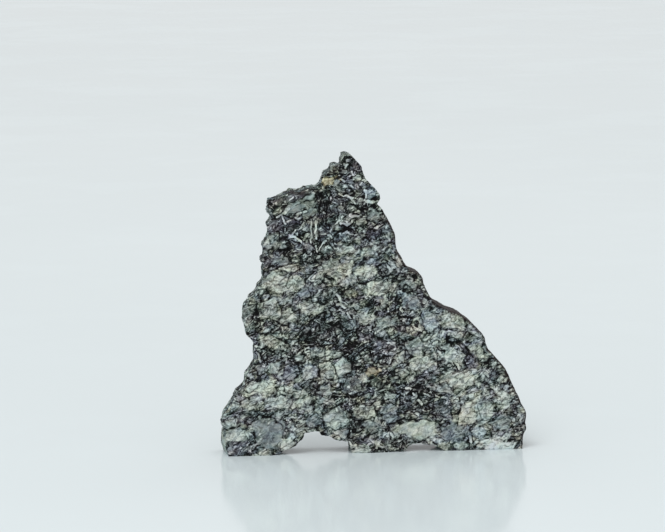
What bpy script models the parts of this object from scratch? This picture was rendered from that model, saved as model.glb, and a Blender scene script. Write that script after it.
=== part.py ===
"""A slice of shergottite meteorite that stands on its sawn lower edge.

The stone is one solid. Its two wide faces were sawn nearly flat, its left flank and top are
broken and lumpy, its right flank keeps the smooth, slightly rounded fusion crust, and its
lower edge was sawn straight and then lost two chips, which leaves three flat feet.

Frame: the front face looks along -Y, +X is to its right and +Z is up. The origin is on the
plane of the feet, under the middle of the stone.
"""

import math

import bmesh
import bpy
from mathutils import Vector, noise

# Driving dimensions, in metres
WIDTH = 0.0318
THICKNESS = 0.0044

# The outline is drawn in outline units, to the right and down, and WIDTH gives it its size.
# It runs clockwise seen from the front: up the broken left flank, over the top, down the
# crusted right flank, and back along the feet, which run past the saw cut at first.
LEFT_FLANK = [
    (229, 464), (229, 457), (224.5, 455.5), (221.5, 451.5), (220, 446), (220, 438),
    (221, 431), (222.5, 425), (219, 423.5), (221, 419.5), (222.5, 413), (226, 408),
    (231, 400), (235, 392), (240, 388), (243.5, 383.5), (243, 377), (246, 372),
    (249.5, 367.5), (252.5, 362), (252, 350), (253, 341), (249, 337.5), (244, 332.5),
    (243.5, 327), (241.5, 319), (240.7, 310), (243, 304), (247, 299), (247.5, 295.5),
    (252, 292.5), (254.5, 289), (256, 284), (260, 280), (260.5, 275), (260, 268),
    (262, 262), (257.5, 258.5), (261, 255), (262, 249), (259.5, 244), (262, 240),
    (265.5, 234), (266, 228), (263.5, 223), (267, 219.5), (268.5, 214.5), (264, 209),
    (266.5, 206), (265, 203),
]
TOP = [
    (266.5, 200), (272, 198), (278, 195), (284, 191.5), (290, 189), (298, 189.5),
    (304, 187), (314, 185), (317.5, 181.5), (320, 176), (321, 171.5), (326, 168),
    (330, 163.5), (337.5, 162), (338, 157), (339, 153.5), (341.5, 151), (346, 151),
    (350, 153.5), (352.5, 157.5), (358.5, 161), (359, 166), (364, 176), (369, 181),
    (374, 186), (378, 190), (378.5, 194), (377.5, 197.5), (374, 200.5), (378, 203),
]
RIGHT_FLANK = [
    (381, 205), (384, 211), (388, 218), (392, 226), (394.5, 232), (394.5, 240),
    (396, 247), (400, 252), (403, 258), (408, 265), (413, 268.5), (419, 271),
    (421.5, 275), (422, 280), (425, 286), (428, 293), (432, 299), (436, 302),
    (441, 304), (445, 307), (450, 308.5), (458, 311.5), (464, 316), (470, 320),
    (475, 325.5), (480, 330), (483.5, 335), (484.5, 341), (487, 347), (492, 352.5),
    (497, 358), (502, 364), (506, 369.5), (509, 375), (510.5, 380), (514, 387),
    (518, 394), (520.5, 401), (524, 407), (526.5, 411), (526, 416), (525.5, 421),
    (527.5, 427), (524, 431), (523, 437), (523.5, 443), (521.5, 450),
]
LOWER_EDGE = [
    (521.5, 458), (446, 460), (446, 452), (440, 446.5), (434, 443), (429, 444.5),
    (422, 442), (414, 442.3), (408.5, 445), (407.5, 448.5), (395, 449.5), (391, 454.5),
    (391, 462), (352, 463), (352, 455.5), (350, 449), (349, 441), (343, 440),
    (335, 439), (329, 435), (321, 434), (319, 430), (311, 430.5), (304, 432.5),
    (302.5, 438), (298, 441), (295, 445), (288, 448.5), (282, 451), (277, 456),
    (277, 464),
]
OUTLINE = LEFT_FLANK + TOP + RIGHT_FLANK + LOWER_EDGE
LOW_END, HIGH_END = 219.0, 527.5  # leftmost and rightmost outline units
UNIT = WIDTH / (HIGH_END - LOW_END)
MIDDLE = (LOW_END + HIGH_END) / 2
SAW_LINE_LEFT = 456.0  # height of the sawn edge under the left foot
SAW_LINE_SLOPE = 0.0285  # the sawn edge rises this much per unit to the right

# Plucked grains and open cracks of the front face: place in outline units, radius and depth
FRONT_PITS = [
    (286, 249, 7, 0.30e-3), (271, 204, 7, 0.36e-3), (327, 212, 7, 0.22e-3),
    (366, 281, 8, 0.26e-3), (391, 277, 9, 0.28e-3), (386, 254, 6, 0.26e-3),
    (452, 341, 7, 0.30e-3), (462, 340, 7, 0.34e-3), (470, 347, 5, 0.26e-3),
    (488, 382, 7, 0.34e-3), (404, 343, 9, 0.28e-3), (345, 338, 12, 0.22e-3),
    (318, 330, 10, 0.22e-3), (264, 352, 9, 0.28e-3), (356, 418, 8, 0.28e-3),
    (380, 396, 12, 0.24e-3), (425, 402, 10, 0.28e-3), (446, 398, 8, 0.30e-3),
    (247, 417, 7, 0.26e-3), (306, 428, 7, 0.32e-3), (519, 428, 6, 0.32e-3),
    (352, 190, 7, 0.24e-3), (298, 336, 8, 0.26e-3),
]
BACK_PITS = [
    (292, 262, 10, 0.32e-3), (341, 215, 8, 0.26e-3), (372, 300, 14, 0.28e-3),
    (431, 352, 10, 0.34e-3), (478, 412, 12, 0.28e-3), (258, 398, 10, 0.32e-3),
    (318, 372, 15, 0.26e-3), (401, 418, 10, 0.28e-3), (284, 322, 9, 0.24e-3),
]
PIT_WOBBLE = 0.35  # how far a pit's rim is from round

# Chipped corner along the top left: the front face falls back towards that edge
CHIP_START, CHIP_END = (262, 209), (322, 190)
CHIP_SLOPE = 1.0  # metres that the face falls back, per metre beyond the chip's lower edge
CHIP_END_SLOPE = 2.0  # how quickly it comes forward again past the chip's right end
CHIP_MOST = 0.9e-3

# Wide faces
RIPPLE = 2.6e-3  # size of the swells
RIPPLE_DEPTH = 0.09e-3
CRYSTAL = 0.85e-3  # size of the coarser crystals
CRYSTAL_STEP = 0.06e-3  # height that they stand above one another
CRYSTAL_BEND = 0.35  # how far their rims are from straight
CRYSTAL_SPREAD = 7.3  # spreads the crystals' middles over the random heights
BACK_SEED = 0.037  # moves the back face's pattern away from the front's

# Flanks
BROKEN_DEPTH = 0.48e-3  # deepest hollow of a broken flank
BROKEN_RIM = 0.30  # share of it that is left at the front rim
LUMP = 1.5e-3  # size of the lumps on a broken flank
LUMP_MIDDLE = 1.3  # middle value of the ridged noise, which a lump stands out from
TIP_STARTS = (338, 166)  # above here the stone is too slim for the full depth
TIP_DEPTH = 0.35
CRUST_DEPTH = 0.12e-3
CRUST_SWELL = 2.4e-3
CRUST_ROUND = 0.45e-3  # radius of the crusted rims
CRUST_ROUND_SHARE = 0.55
BROKEN_ROUND_SHARE = 0.15
CRUST_FACES_RIGHT = 0.15  # the crust is where the outward direction's x is above this
CRUST_UNDERSIDE = -0.75  # and its z is above this, so the lower edge has none
CRUST_TOP_MARGIN = 0.5e-3
LEFT_LEAN = 0.40e-3  # the left flank's front rim stands this much further in
LEAN_FACES_LEFT = 0.3

VOXEL = 0.17e-3
TRIANGLES = 9000
FLANK_SHARE = 0.35  # a point is on a flank where its normal leaves Y by more than this
SAW_BOX = 0.05

STONE_COLOUR = (0.150, 0.165, 0.150, 1.0)
STONE_ROUGHNESS = 0.55


def to_stone(right, down):
    """A point of the outline as (x, z) in metres."""
    saw_line = SAW_LINE_LEFT - SAW_LINE_SLOPE * (right - LOW_END)
    return (right - MIDDLE) * UNIT, (saw_line - down) * UNIT


def clear_scene():
    for item in list(bpy.data.objects):
        bpy.data.objects.remove(item, do_unlink=True)


def new_collection(name):
    made = bpy.data.collections.new(name)
    bpy.context.scene.collection.children.link(made)
    return made


def as_mesh(source, name):
    """A mesh object made from source as its modifiers leave it, in source's place."""
    graph = bpy.context.evaluated_depsgraph_get()
    mesh = bpy.data.meshes.new_from_object(source.evaluated_get(graph))
    made = bpy.data.objects.new(name, mesh)
    made.matrix_world = source.matrix_world
    for collection in source.users_collection:
        collection.objects.link(made)
    bpy.data.objects.remove(source, do_unlink=True)
    return made


def apply_placement(item):
    item.data.transform(item.matrix_world)
    item.matrix_world.identity()


def weld(item, distance=1.0e-6):
    shape = bmesh.new()
    shape.from_mesh(item.data)
    bmesh.ops.remove_doubles(shape, verts=shape.verts, dist=distance)
    shape.to_mesh(item.data)
    shape.free()


def sawn_slab(collection):
    """The outline as a flat curve, thickened to the slice, its front face along -Y."""
    curve = bpy.data.curves.new("outline", "CURVE")
    curve.dimensions = "2D"
    curve.fill_mode = "BOTH"
    curve.extrude = THICKNESS / 2
    line = curve.splines.new("POLY")
    line.points.add(len(OUTLINE) - 1)
    for point, place in zip(line.points, OUTLINE):
        x, z = to_stone(*place)
        point.co = (x, z, 0.0, 1.0)
    line.use_cyclic_u = True
    item = bpy.data.objects.new("outline", curve)
    item.rotation_euler = (math.radians(90), 0.0, 0.0)
    collection.objects.link(item)
    bpy.context.view_layer.update()
    slab = as_mesh(item, "stone")
    apply_placement(slab)
    weld(slab)
    return slab


def remeshed(item):
    """The same shape with small, even faces, which the weathering can move."""
    grid = item.modifiers.new("even faces", "REMESH")
    grid.mode = "VOXEL"
    grid.voxel_size = VOXEL
    bpy.context.view_layer.update()
    return as_mesh(item, "stone")


def dent(distance, radius, depth):
    """Depth of a bowl with a soft lip at this distance from its middle."""
    share = max(0.0, 1.0 - (distance / radius) ** 2)
    return depth * share * share


def pit_depth(x, z, pits):
    """How deep the pits have cut a face at (x, z)."""
    deepest = 0.0
    for right, down, radius, depth in pits:
        px, pz = to_stone(right, down)
        wobble = 1.0 + PIT_WOBBLE * noise.noise(Vector((x, z, depth)) / (radius * UNIT))
        distance = math.hypot(x - px, z - pz) * wobble
        deepest = max(deepest, dent(distance, radius * UNIT, depth))
    return deepest


def crystal_height(x, z, seed):
    """Each crystal of a sawn face stands at its own height: one random step per cell."""
    place = Vector((x, z, seed)) / CRYSTAL
    bend = noise.noise_vector(place) * CRYSTAL_BEND
    _, nearest = noise.voronoi(place + bend)
    return CRYSTAL_STEP * noise.cell(nearest[0] * CRYSTAL_SPREAD)


def chip_depth(x, z):
    """How far the chipped corner has fallen back from the plane of the front face."""
    ax, az = to_stone(*CHIP_START)
    bx, bz = to_stone(*CHIP_END)
    along = Vector((bx - ax, bz - az)).normalized()
    beyond = -along.y * (x - ax) + along.x * (z - az)
    past_end = max(0.0, (x - bx) * along.x + (z - bz) * along.y)
    drop = max(0.0, beyond) * CHIP_SLOPE - past_end * CHIP_END_SLOPE
    return min(CHIP_MOST, max(0.0, drop))


def face_depth(place, front):
    """How far a point of a sawn face lies below the flat of that face."""
    x, z = place.x, place.z
    seed = 0.0 if front else BACK_SEED
    swell = noise.fractal(Vector((x, z, seed)) / RIPPLE, 1.0, 2.0, 3) * RIPPLE_DEPTH
    depth = crystal_height(x, z, seed) + abs(swell)
    depth += pit_depth(x, z, FRONT_PITS if front else BACK_PITS)
    if front:
        depth += chip_depth(x, z)
    return depth


def is_crusted(place, outward):
    """Whether a point of a flank has the fusion crust, as the right flank has."""
    crust_top = to_stone(*RIGHT_FLANK[0])[1] + CRUST_TOP_MARGIN
    faces_right = outward.x > CRUST_FACES_RIGHT and outward.z > CRUST_UNDERSIDE
    return faces_right and place.z < crust_top


def broken_depth(place, across):
    """Hollows between lumps on a broken flank, shallow at the front rim and at the tip."""
    lumps = noise.ridged_multi_fractal(place / LUMP, 1.0, 2.1, 3, 0.9, 2.0)
    hollow = min(1.0, abs(lumps - LUMP_MIDDLE))
    from_rim = min(1.0, 0.5 * (1.0 + across) * 3.0)
    share = BROKEN_RIM + (1.0 - BROKEN_RIM) * from_rim
    if place.z > to_stone(*TIP_STARTS)[1]:
        share *= TIP_DEPTH
    return BROKEN_DEPTH * hollow * share


def flank_depth(place, outward):
    """How far a point of a flank lies inside the outline."""
    across = place.y / (THICKNESS / 2)  # -1 at the front rim, 1 at the back rim
    over = max(0.0, abs(place.y) - (THICKNESS / 2 - CRUST_ROUND)) / CRUST_ROUND
    rounding = CRUST_ROUND * (1.0 - math.sqrt(max(0.0, 1.0 - min(1.0, over) ** 2)))
    if is_crusted(place, outward):
        swell = 0.5 + 0.5 * noise.noise(place / CRUST_SWELL)
        return CRUST_DEPTH * swell + rounding * CRUST_ROUND_SHARE
    depth = broken_depth(place, across) + rounding * BROKEN_ROUND_SHARE
    if outward.x < -LEAN_FACES_LEFT:
        depth += LEFT_LEAN * 0.5 * (1.0 - across) * -outward.x
    return depth


def weathered(item):
    """Moves every point inwards: sawn faces by face_depth, flanks by flank_depth."""
    mesh = item.data
    half = THICKNESS / 2
    moved = []
    for vertex in mesh.vertices:
        place, normal = vertex.co.copy(), vertex.normal
        outward = Vector((normal.x, 0.0, normal.z))
        shift = Vector((0.0, 0.0, 0.0))
        if abs(place.y) > half - VOXEL:
            front = place.y < 0.0
            shift.y = face_depth(place, front) * (1.0 if front else -1.0)
        if outward.length > FLANK_SHARE:
            outward.normalize()
            shift -= outward * flank_depth(place, outward)
        moved.append(place + shift)
    for vertex, place in zip(mesh.vertices, moved):
        vertex.co = place
    mesh.update()


def fewer_faces(item):
    """Keeps the shape with about TRIANGLES faces, most of them on the flanks."""
    item.data.calc_loop_triangles()
    thin = item.modifiers.new("fewer faces", "DECIMATE")
    thin.ratio = min(1.0, TRIANGLES / len(item.data.loop_triangles))
    thin.use_collapse_triangulate = True
    bpy.context.view_layer.update()
    return as_mesh(item, "stone")


def saw_feet(item, cutters):
    """Cuts the lower edge flat at z = 0 with a box below the stone."""
    bpy.ops.mesh.primitive_cube_add(size=SAW_BOX, location=(0.0, 0.0, -SAW_BOX / 2))
    box = bpy.context.object
    box.name = "saw"
    for collection in list(box.users_collection):
        collection.objects.unlink(box)
    cutters.objects.link(box)
    box.hide_render = True
    box.display_type = "WIRE"
    cut = item.modifiers.new("saw", "BOOLEAN")
    cut.operation = "DIFFERENCE"
    cut.solver = "EXACT"
    cut.object = box


def stone_material():
    made = bpy.data.materials.new("shergottite")
    made.use_nodes = True
    shader = made.node_tree.nodes["Principled BSDF"]
    shader.inputs["Base Color"].default_value = STONE_COLOUR
    shader.inputs["Roughness"].default_value = STONE_ROUGHNESS
    shader.inputs["Metallic"].default_value = 0.0
    return made


def main():
    clear_scene()
    meteorite = new_collection("shergottite meteorite")
    cutters = new_collection("cutters")
    stone = remeshed(sawn_slab(meteorite))
    weathered(stone)
    stone = fewer_faces(stone)
    stone.data.materials.clear()
    stone.data.materials.append(stone_material())
    saw_feet(stone, cutters)


main()
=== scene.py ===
# %% [markdown]
# # A slice of shergottite, from a plain solid to a stone
#
# The stone is a thin slice of a coarse volcanic rock: grey-green crystals with dark matter
# between them, needles of feldspar whose white is a painted glint of light off them, broken
# flanks on the left and a dark crust on the right. It stands on its sawn lower edge. The CAD
# model is one plain solid of that form. This lesson makes the fine surface of it with numpy, as
# sheets worked out on grids, and then paints the sheets with a node material.

# %% The frame: the packed solid that everything is fitted to
import math

import bpy
import numpy as np
from mathutils import Matrix, Vector


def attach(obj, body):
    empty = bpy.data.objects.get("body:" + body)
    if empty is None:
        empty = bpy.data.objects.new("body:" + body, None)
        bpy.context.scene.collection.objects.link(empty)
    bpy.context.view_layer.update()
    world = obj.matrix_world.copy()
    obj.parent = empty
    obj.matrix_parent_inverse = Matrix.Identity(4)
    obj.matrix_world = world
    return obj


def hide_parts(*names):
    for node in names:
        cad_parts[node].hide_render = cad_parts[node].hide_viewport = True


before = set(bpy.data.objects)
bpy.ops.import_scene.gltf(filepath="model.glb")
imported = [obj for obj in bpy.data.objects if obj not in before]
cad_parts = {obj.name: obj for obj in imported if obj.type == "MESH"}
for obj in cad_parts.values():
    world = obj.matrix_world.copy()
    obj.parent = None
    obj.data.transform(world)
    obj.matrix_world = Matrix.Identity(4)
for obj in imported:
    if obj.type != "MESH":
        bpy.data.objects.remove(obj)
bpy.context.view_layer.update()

MM = 0.001

# %% [markdown]
# ## Camera
#
# The picture is taken from a little to the left of the stone's front and a little above the
# table, with a long lens, and the camera is turned by less than a degree about its own axis.
# A long lens is built here as a far camera and a narrow field, because that keeps the upright
# lines of the stone parallel. The size of the field is stated in millimetres at the stone.

# %% Camera
FRAME_PIXELS = (665, 532)
PIXEL = 0.1032 * MM          # one pixel of the picture, at the stone
AZIMUTH = math.radians(-6.0)
ELEVATION = math.radians(8.0)
ROLL = math.radians(-0.4)
DISTANCE = 0.42              # metres from the camera to the aim
SENSOR = 36.0                # millimetres
AIM = Vector((-3.86 * MM, 0.0, 19.30 * MM))


def look_from(azimuth, elevation, roll):
    """The camera's turn: it looks along +Y, then tips down by the elevation, swings about Z by
    the azimuth and rolls about its own line of sight."""
    return (Matrix.Rotation(azimuth, 3, "Z")
            @ Matrix.Rotation(math.pi / 2 - elevation, 3, "X")
            @ Matrix.Rotation(roll, 3, "Z"))


lens = bpy.data.cameras.new("camera")
lens.sensor_width = SENSOR
lens.lens = SENSOR * DISTANCE / (FRAME_PIXELS[0] * PIXEL)
lens.clip_start, lens.clip_end = 0.01, 10.0
camera = bpy.data.objects.new("camera", lens)
turn = look_from(AZIMUTH, ELEVATION, ROLL)
camera.matrix_world = Matrix.Translation(AIM + turn @ Vector((0, 0, DISTANCE))) @ turn.to_4x4()
bpy.context.scene.collection.objects.link(camera)
bpy.context.scene.camera = camera
print("camera at", [round(v, 4) for v in camera.matrix_world.translation],
      "lens", round(lens.lens, 1))

# %% [markdown]
# ## The outline
#
# Seen from the front the stone is a leaning triangle. Its outline is drawn in outline units,
# about a tenth of a millimetre each, to the right and down, as four sides: the broken left
# flank, the top with its tip, the crusted right flank and the sawn lower edge with its two
# chips. Four sides are used because a grid has four sides too, so each side of the stone
# becomes one side of the grid.

# %% The four sides of the outline
LEFT_FLANK = [
    (229, 457), (224.5, 455.5), (221.5, 451.5), (220, 446), (220, 438), (221, 431),
    (222.5, 425), (219, 423.5), (221, 419.5), (222.5, 413), (226, 408), (231, 400), (235, 392),
    (240, 388), (243.5, 383.5), (243, 377), (246, 372), (249.5, 367.5), (252.5, 362),
    (252, 350), (253, 341), (249, 337.5), (244, 332.5), (243.5, 327), (241.5, 319),
    (240.7, 310), (243, 304), (247, 299), (247.5, 295.5), (252, 292.5), (254.5, 289),
    (256, 284), (260, 280), (260.5, 275), (260, 268), (262, 262), (257.5, 258.5), (261, 255),
    (262, 249), (259.5, 244), (262, 240), (265.5, 234), (266, 228), (263.5, 223), (267, 219.5),
    (268.5, 214.5), (264, 209), (266.5, 206), (265, 203),
]
TOP = [
    (265, 203), (266.5, 200), (272, 198), (278, 195), (284, 191.5), (290, 189), (298, 189.5),
    (304, 187), (314, 185), (317.5, 181.5), (320, 176), (321, 171.5), (326, 168), (330, 163.5),
    (337.5, 162), (338, 158), (339, 154.8), (341.2, 152.6), (344.5, 151.8),
]
RIGHT_FLANK = [
    (344.5, 151.8), (348, 152), (351, 153.8), (354, 157.5), (359, 161.5), (360, 166),
    (364, 176), (369, 181), (374, 186), (378, 190), (378.5, 194), (377.5, 197.5), (374, 200.5),
    (378, 203), (381, 205), (384, 211), (388, 218), (392, 226), (394.5, 232), (394.5, 240),
    (396, 247), (400, 252), (403, 258), (408, 265), (413, 268), (419.5, 270), (422.5, 274.5),
    (423, 279.5), (426, 285.5), (429, 292), (433.5, 298), (437.5, 301), (442.5, 303),
    (446.5, 306), (451.5, 307.5), (460, 310.5), (466, 315), (472, 319), (477, 324.5),
    (482, 329), (485.5, 334), (486.5, 340), (489, 346), (494, 351.5), (499.5, 357),
    (504.5, 363), (508.5, 368.5), (511, 374), (513, 379), (516.5, 386), (520.5, 393),
    (523, 400), (526.5, 406), (529, 411), (528.5, 416), (528, 421), (530, 427), (527, 431),
    (525.5, 437), (526, 443), (524.5, 450),
]
LOWER_EDGE = [
    (524.5, 450), (446, 452), (440, 446.5), (434, 443), (429, 444.5), (422, 442), (414, 442.3),
    (408.5, 445), (407.5, 448.5), (395, 449.5), (391, 454.5), (352, 455.5), (350, 449),
    (349, 441), (343, 440), (335, 439), (329, 435), (321, 434), (319, 430), (311, 430.5),
    (304, 432.5), (302.5, 438), (298, 441), (295, 445), (288, 448.5), (282, 451), (277, 456),
    (229, 457),
]
WIDTH = 31.8                 # millimetres, as the solid's own outline has it
WIDTH_UNITS = 308.5          # the same width in outline units
UNIT = WIDTH / WIDTH_UNITS   # millimetres in one outline unit
LOW_END, HIGH_END = 219.0, 530.0    # the stone's left and right end, in outline units
MIDDLE = 373.25              # where x = 0 is, in outline units
SAW_LINE_LEFT = 456.0        # how far down the sawn plane is seen at the left end
SAW_LINE_SLOPE = 0.0285      # and how much it rises for each unit to the right
UPRIGHT_SLOPE = 0.015        # upright lines lean left by this much in outline units
ON_PLANE = 0.02              # what is lower than this, in millimetres, lies on the sawn plane
SIDE = 240                   # grid steps along each side
HALF = 2.2                   # half the slice's thickness, in millimetres


def to_stone(right, down):
    """Outline units as millimetres on the stone: x from the middle, z up from the sawn line."""
    saw_line = SAW_LINE_LEFT - SAW_LINE_SLOPE * (right - LOW_END)
    z = (saw_line - down) * UNIT
    return (right - MIDDLE) * UNIT + UPRIGHT_SLOPE * z, z


def even_steps(points, steps):
    """The same line with points at even distances: x and z are read off at equal shares of the
    length walked along it."""
    walked = np.concatenate(([0.0], np.cumsum(np.hypot(*np.diff(points, axis=0).T))))
    shares = np.linspace(0.0, walked[-1], steps + 1)
    return np.stack([np.interp(shares, walked, points[:, axis]) for axis in (0, 1)], axis=1)


def rounded(line, passes):
    """The line with its corners eased: each inner point moves half way to its neighbours' mean."""
    line = line.copy()
    for _ in range(passes):
        line[1:-1] = 0.5 * line[1:-1] + 0.25 * (line[:-2] + line[2:])
    return line


def side_line(units, passes):
    """One side of the outline in millimetres, cut off at the sawn plane z = 0."""
    x, z = to_stone(*np.array(units, dtype=float).T)
    line = even_steps(np.stack([x, np.maximum(z, 0.0)], axis=1), SIDE)
    line = rounded(line, passes)
    line[:, 1] = np.where(line[:, 1] < ON_PLANE, 0.0, line[:, 1])
    return line


sides = [(LEFT_FLANK, 1), (TOP, 1), (RIGHT_FLANK, 2), (LOWER_EDGE, 1)]
outline = np.concatenate([side_line(units, passes)[:-1] for units, passes in sides])
print("outline points:", len(outline), "width in mm:", round(np.ptp(outline[:, 0]), 2),
      "height:", round(np.ptp(outline[:, 1]), 2))

# %% [markdown]
# ## Noise
#
# Everything irregular about a stone comes from two kinds of noise here. Smooth noise blends
# random numbers that sit on the corners of a lattice, and gives swells and lumps. Cell noise
# scatters one seed point in each cell of a lattice and asks which seed is nearest, and gives
# crystals with borders. Both work on whole arrays, and both come out the same on each run.

# %% Noise on arrays
SEED_FACTOR = 2654435761
AXIS_FACTORS = np.array([374761393, 668265263, 1440662683], dtype=np.uint32)
MIX_FACTOR = np.uint32(1274126177)


def chance(cells, seed):
    """A repeatable number from 0 to 1 for each whole-numbered cell: its coordinates are
    multiplied by large odd numbers, added up, and the bits of the sum are mixed twice."""
    mixed = np.full(cells.shape[:-1], seed * SEED_FACTOR % 2 ** 32, dtype=np.uint32)
    for axis in range(cells.shape[-1]):
        mixed = mixed + cells[..., axis].astype(np.int64).astype(np.uint32) * AXIS_FACTORS[axis]
        mixed = (mixed ^ (mixed >> np.uint32(13))) * MIX_FACTOR
    return (mixed ^ (mixed >> np.uint32(16))) / 2.0 ** 32


def smooth_noise(places, seed=0):
    """Noise from -1 to 1: the random numbers on a lattice cell's corners, blended by 3f^2 - 2f^3
    of the place's distance f from the corner along each axis."""
    cell = np.floor(places)
    part = places - cell
    share = part * part * (3.0 - 2.0 * part)
    total = np.zeros(places.shape[:-1])
    for corner in np.ndindex(*([2] * places.shape[-1])):
        at = np.array(corner)
        weight = np.prod(np.where(at == 1, share, 1.0 - share), axis=-1)
        total += weight * chance(cell + at, seed)
    return 2.0 * total - 1.0


def layered(places, layers, seed=0, keep=0.5):
    """Smooth noise on finer and finer lattices, each layer half as large and keep times as
    strong as the one before, divided by the sum of the strengths."""
    total, strength, whole = 0.0, 1.0, 0.0
    for layer in range(layers):
        total = total + strength * smooth_noise(places * 2.0 ** layer, seed + layer)
        whole += strength
        strength *= keep
    return total / whole


def waves(places, wave, layers, seed):
    """Layered noise of one strength and size, given as a pair, the size in millimetres."""
    strength, size = wave
    return strength * layered(places / size, layers, seed)


def crystals(places, seed=0):
    """Cell noise in the plane: for each place the distance to the nearest seed, how much farther
    the second nearest is, the cell that holds the nearest, and the way to it."""
    cell = np.floor(places)
    first = np.full(places.shape[:-1], 9.0)
    second = first.copy()
    owner = np.zeros_like(places)
    way = np.zeros_like(places)
    for step in np.ndindex(3, 3):
        there = cell + np.array(step) - 1
        point = there + np.stack([chance(there, seed + 11), chance(there, seed + 12)], axis=-1)
        gap = places - point
        far = np.sqrt((gap ** 2).sum(axis=-1))
        nearer = far < first
        second = np.where(nearer, first, np.minimum(second, far))
        first = np.where(nearer, far, first)
        owner = np.where(nearer[..., None], there, owner)
        way = np.where(nearer[..., None], gap, way)
    return first, second - first, owner, way


def eased(value, low, high):
    """0 below low, 1 above high, and 3t^2 - 2t^3 in between."""
    t = np.clip((value - low) / (high - low), 0.0, 1.0)
    return t * t * (3.0 - 2.0 * t)


trial = np.random.default_rng(1).random((999, 3)) * 40
print("noise spread:", round(float(layered(trial, 3).std()), 3))

# %% [markdown]
# ## Roughness of the outline
#
# A broken edge is ragged down to the size of single crystals, while the crusted edge is
# nearly smooth and the sawn feet are straight. The ring of outline points is pushed in and
# out along its own outward direction, by noise whose strength depends on the side.

# %% The ragged rim
RAGGED = 0.06                # strength of the push in millimetres, on the broken sides
CRUST_RAGGED = 0.025         # and on the crusted side
RAGGED_GAIN = 1.6            # layered noise seldom comes near 1, so it is raised by this
RAGGED_SIZE = 0.32           # millimetres from one bump to the next


def outward_of(ring):
    """The outward direction at each point of a closed ring that runs clockwise: the line from the
    point before to the point after, turned a quarter to the left."""
    along = np.roll(ring, -1, axis=0) - np.roll(ring, 1, axis=0)
    along = along / np.maximum(np.hypot(*along.T), 1e-9)[:, None]
    return np.stack([-along[:, 1], along[:, 0]], axis=1)


def eased_ring(values, passes):
    """A closed row of values, smoothed by moving each half way to its neighbours' mean."""
    for _ in range(passes):
        values = 0.5 * values + 0.25 * (np.roll(values, 1, axis=0) + np.roll(values, -1, axis=0))
    return values


def feet_of(ring, passes):
    """1 at the ring's points on the sawn plane and 0 elsewhere, and the same with eased ends."""
    on_foot = (ring[:, 1] <= 0.0).astype(float)
    return on_foot, np.minimum(1.0, eased_ring(on_foot, passes) * 2.0)


def kept_above(ring, on_foot):
    """The ring with its feet on the sawn plane and nothing below it."""
    ring[:, 1] = np.where(on_foot > 0, 0.0, np.maximum(ring[:, 1], 0.0))
    return ring


CRUST_SIDE, SAWN_SIDE = 2, 3
CRUST_TOP = (381, 205)       # where the crust begins on the right flank, in outline units
ring_side = np.repeat(np.arange(4), SIDE)
crusted = (ring_side == CRUST_SIDE) & (outline[:, 1] < to_stone(*CRUST_TOP)[1])
crust_ring = eased_ring(crusted.astype(float), passes=20)
crust_ring[ring_side == SAWN_SIDE] = 0.0
on_foot, foot_near = feet_of(outline, passes=12)
outward = outward_of(eased_ring(outline, passes=4))
strength = (RAGGED + (CRUST_RAGGED - RAGGED) * crust_ring) * (1.0 - foot_near)
push = strength * layered(outline / RAGGED_SIZE, 3, seed=5, keep=0.6) * RAGGED_GAIN
outline = kept_above(outline + outward * push[:, None], on_foot)
print("ragged by up to", round(float(np.abs(push).max()), 3), "mm")

# %% [markdown]
# ## A grid that fills the outline
#
# Each wide face is a grid of points between the four sides. Blending the sides across gives
# a first guess (a Coons patch), but its lines would cross in the chips of the lower edge. So
# the inner points are then drawn to where the grid's lines lie evenly and square, by the
# rule that grid makers use for flow around wings, on coarse grids first and then finer ones.

# %% Grid between four sides
COARSE_PASSES, FINE_PASSES = 160, 60
FINE_FROM = 100              # a grid with this many steps a side counts as fine
COARSEST, LEAST_STEPS = 16, 4       # the first grid's skip, and its fewest steps a side
EVENING = 0.9                # share of the way that a point moves in one pass


def between_sides(left, top, right, bottom):
    """A Coons patch: the blend of left and right, plus the blend of bottom and top, minus the
    blend of the four corners. Rows run from bottom to top, columns from left to right."""
    v = np.linspace(0.0, 1.0, len(left))[:, None, None]
    u = np.linspace(0.0, 1.0, len(bottom))[None, :, None]
    across = (1 - u) * left[:, None] + u * right[:, None]
    upward = (1 - v) * bottom[None] + v * top[None]
    corners = ((1 - u) * (1 - v) * bottom[0] + u * (1 - v) * bottom[-1]
               + (1 - u) * v * top[0] + u * v * top[-1])
    return across + upward - corners


def evened(grid, passes):
    """Each inner point moves to the mean of its four neighbours, weighted so that the lines keep
    square: those across count with the squared step upward, those above and below with the
    squared step across, and the diagonals with minus half of the two steps' product. It goes
    most of the way there, so that no point overshoots."""
    g = grid.copy()
    for _ in range(passes):
        step_u = 0.5 * (g[1:-1, 2:] - g[1:-1, :-2])
        step_v = 0.5 * (g[2:, 1:-1] - g[:-2, 1:-1])
        a = (step_v ** 2).sum(-1, keepdims=True)
        b = (step_u * step_v).sum(-1, keepdims=True)
        c = (step_u ** 2).sum(-1, keepdims=True)
        diagonal = g[2:, 2:] - g[2:, :-2] - g[:-2, 2:] + g[:-2, :-2]
        wanted = (a * (g[1:-1, 2:] + g[1:-1, :-2]) + c * (g[2:, 1:-1] + g[:-2, 1:-1])
                  - 0.5 * b * diagonal) / np.maximum(2.0 * (a + c), 1e-12)
        g[1:-1, 1:-1] += EVENING * (wanted - g[1:-1, 1:-1])
    return g


def finer(grid):
    """The grid with twice the steps: new points half way between old ones."""
    rows = np.empty((2 * len(grid) - 1, *grid.shape[1:]))
    rows[::2], rows[1::2] = grid, 0.5 * (grid[:-1] + grid[1:])
    both = np.empty((len(rows), 2 * rows.shape[1] - 1, 2))
    both[:, ::2], both[:, 1::2] = rows, 0.5 * (rows[:, :-1] + rows[:, 1:])
    return both


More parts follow.
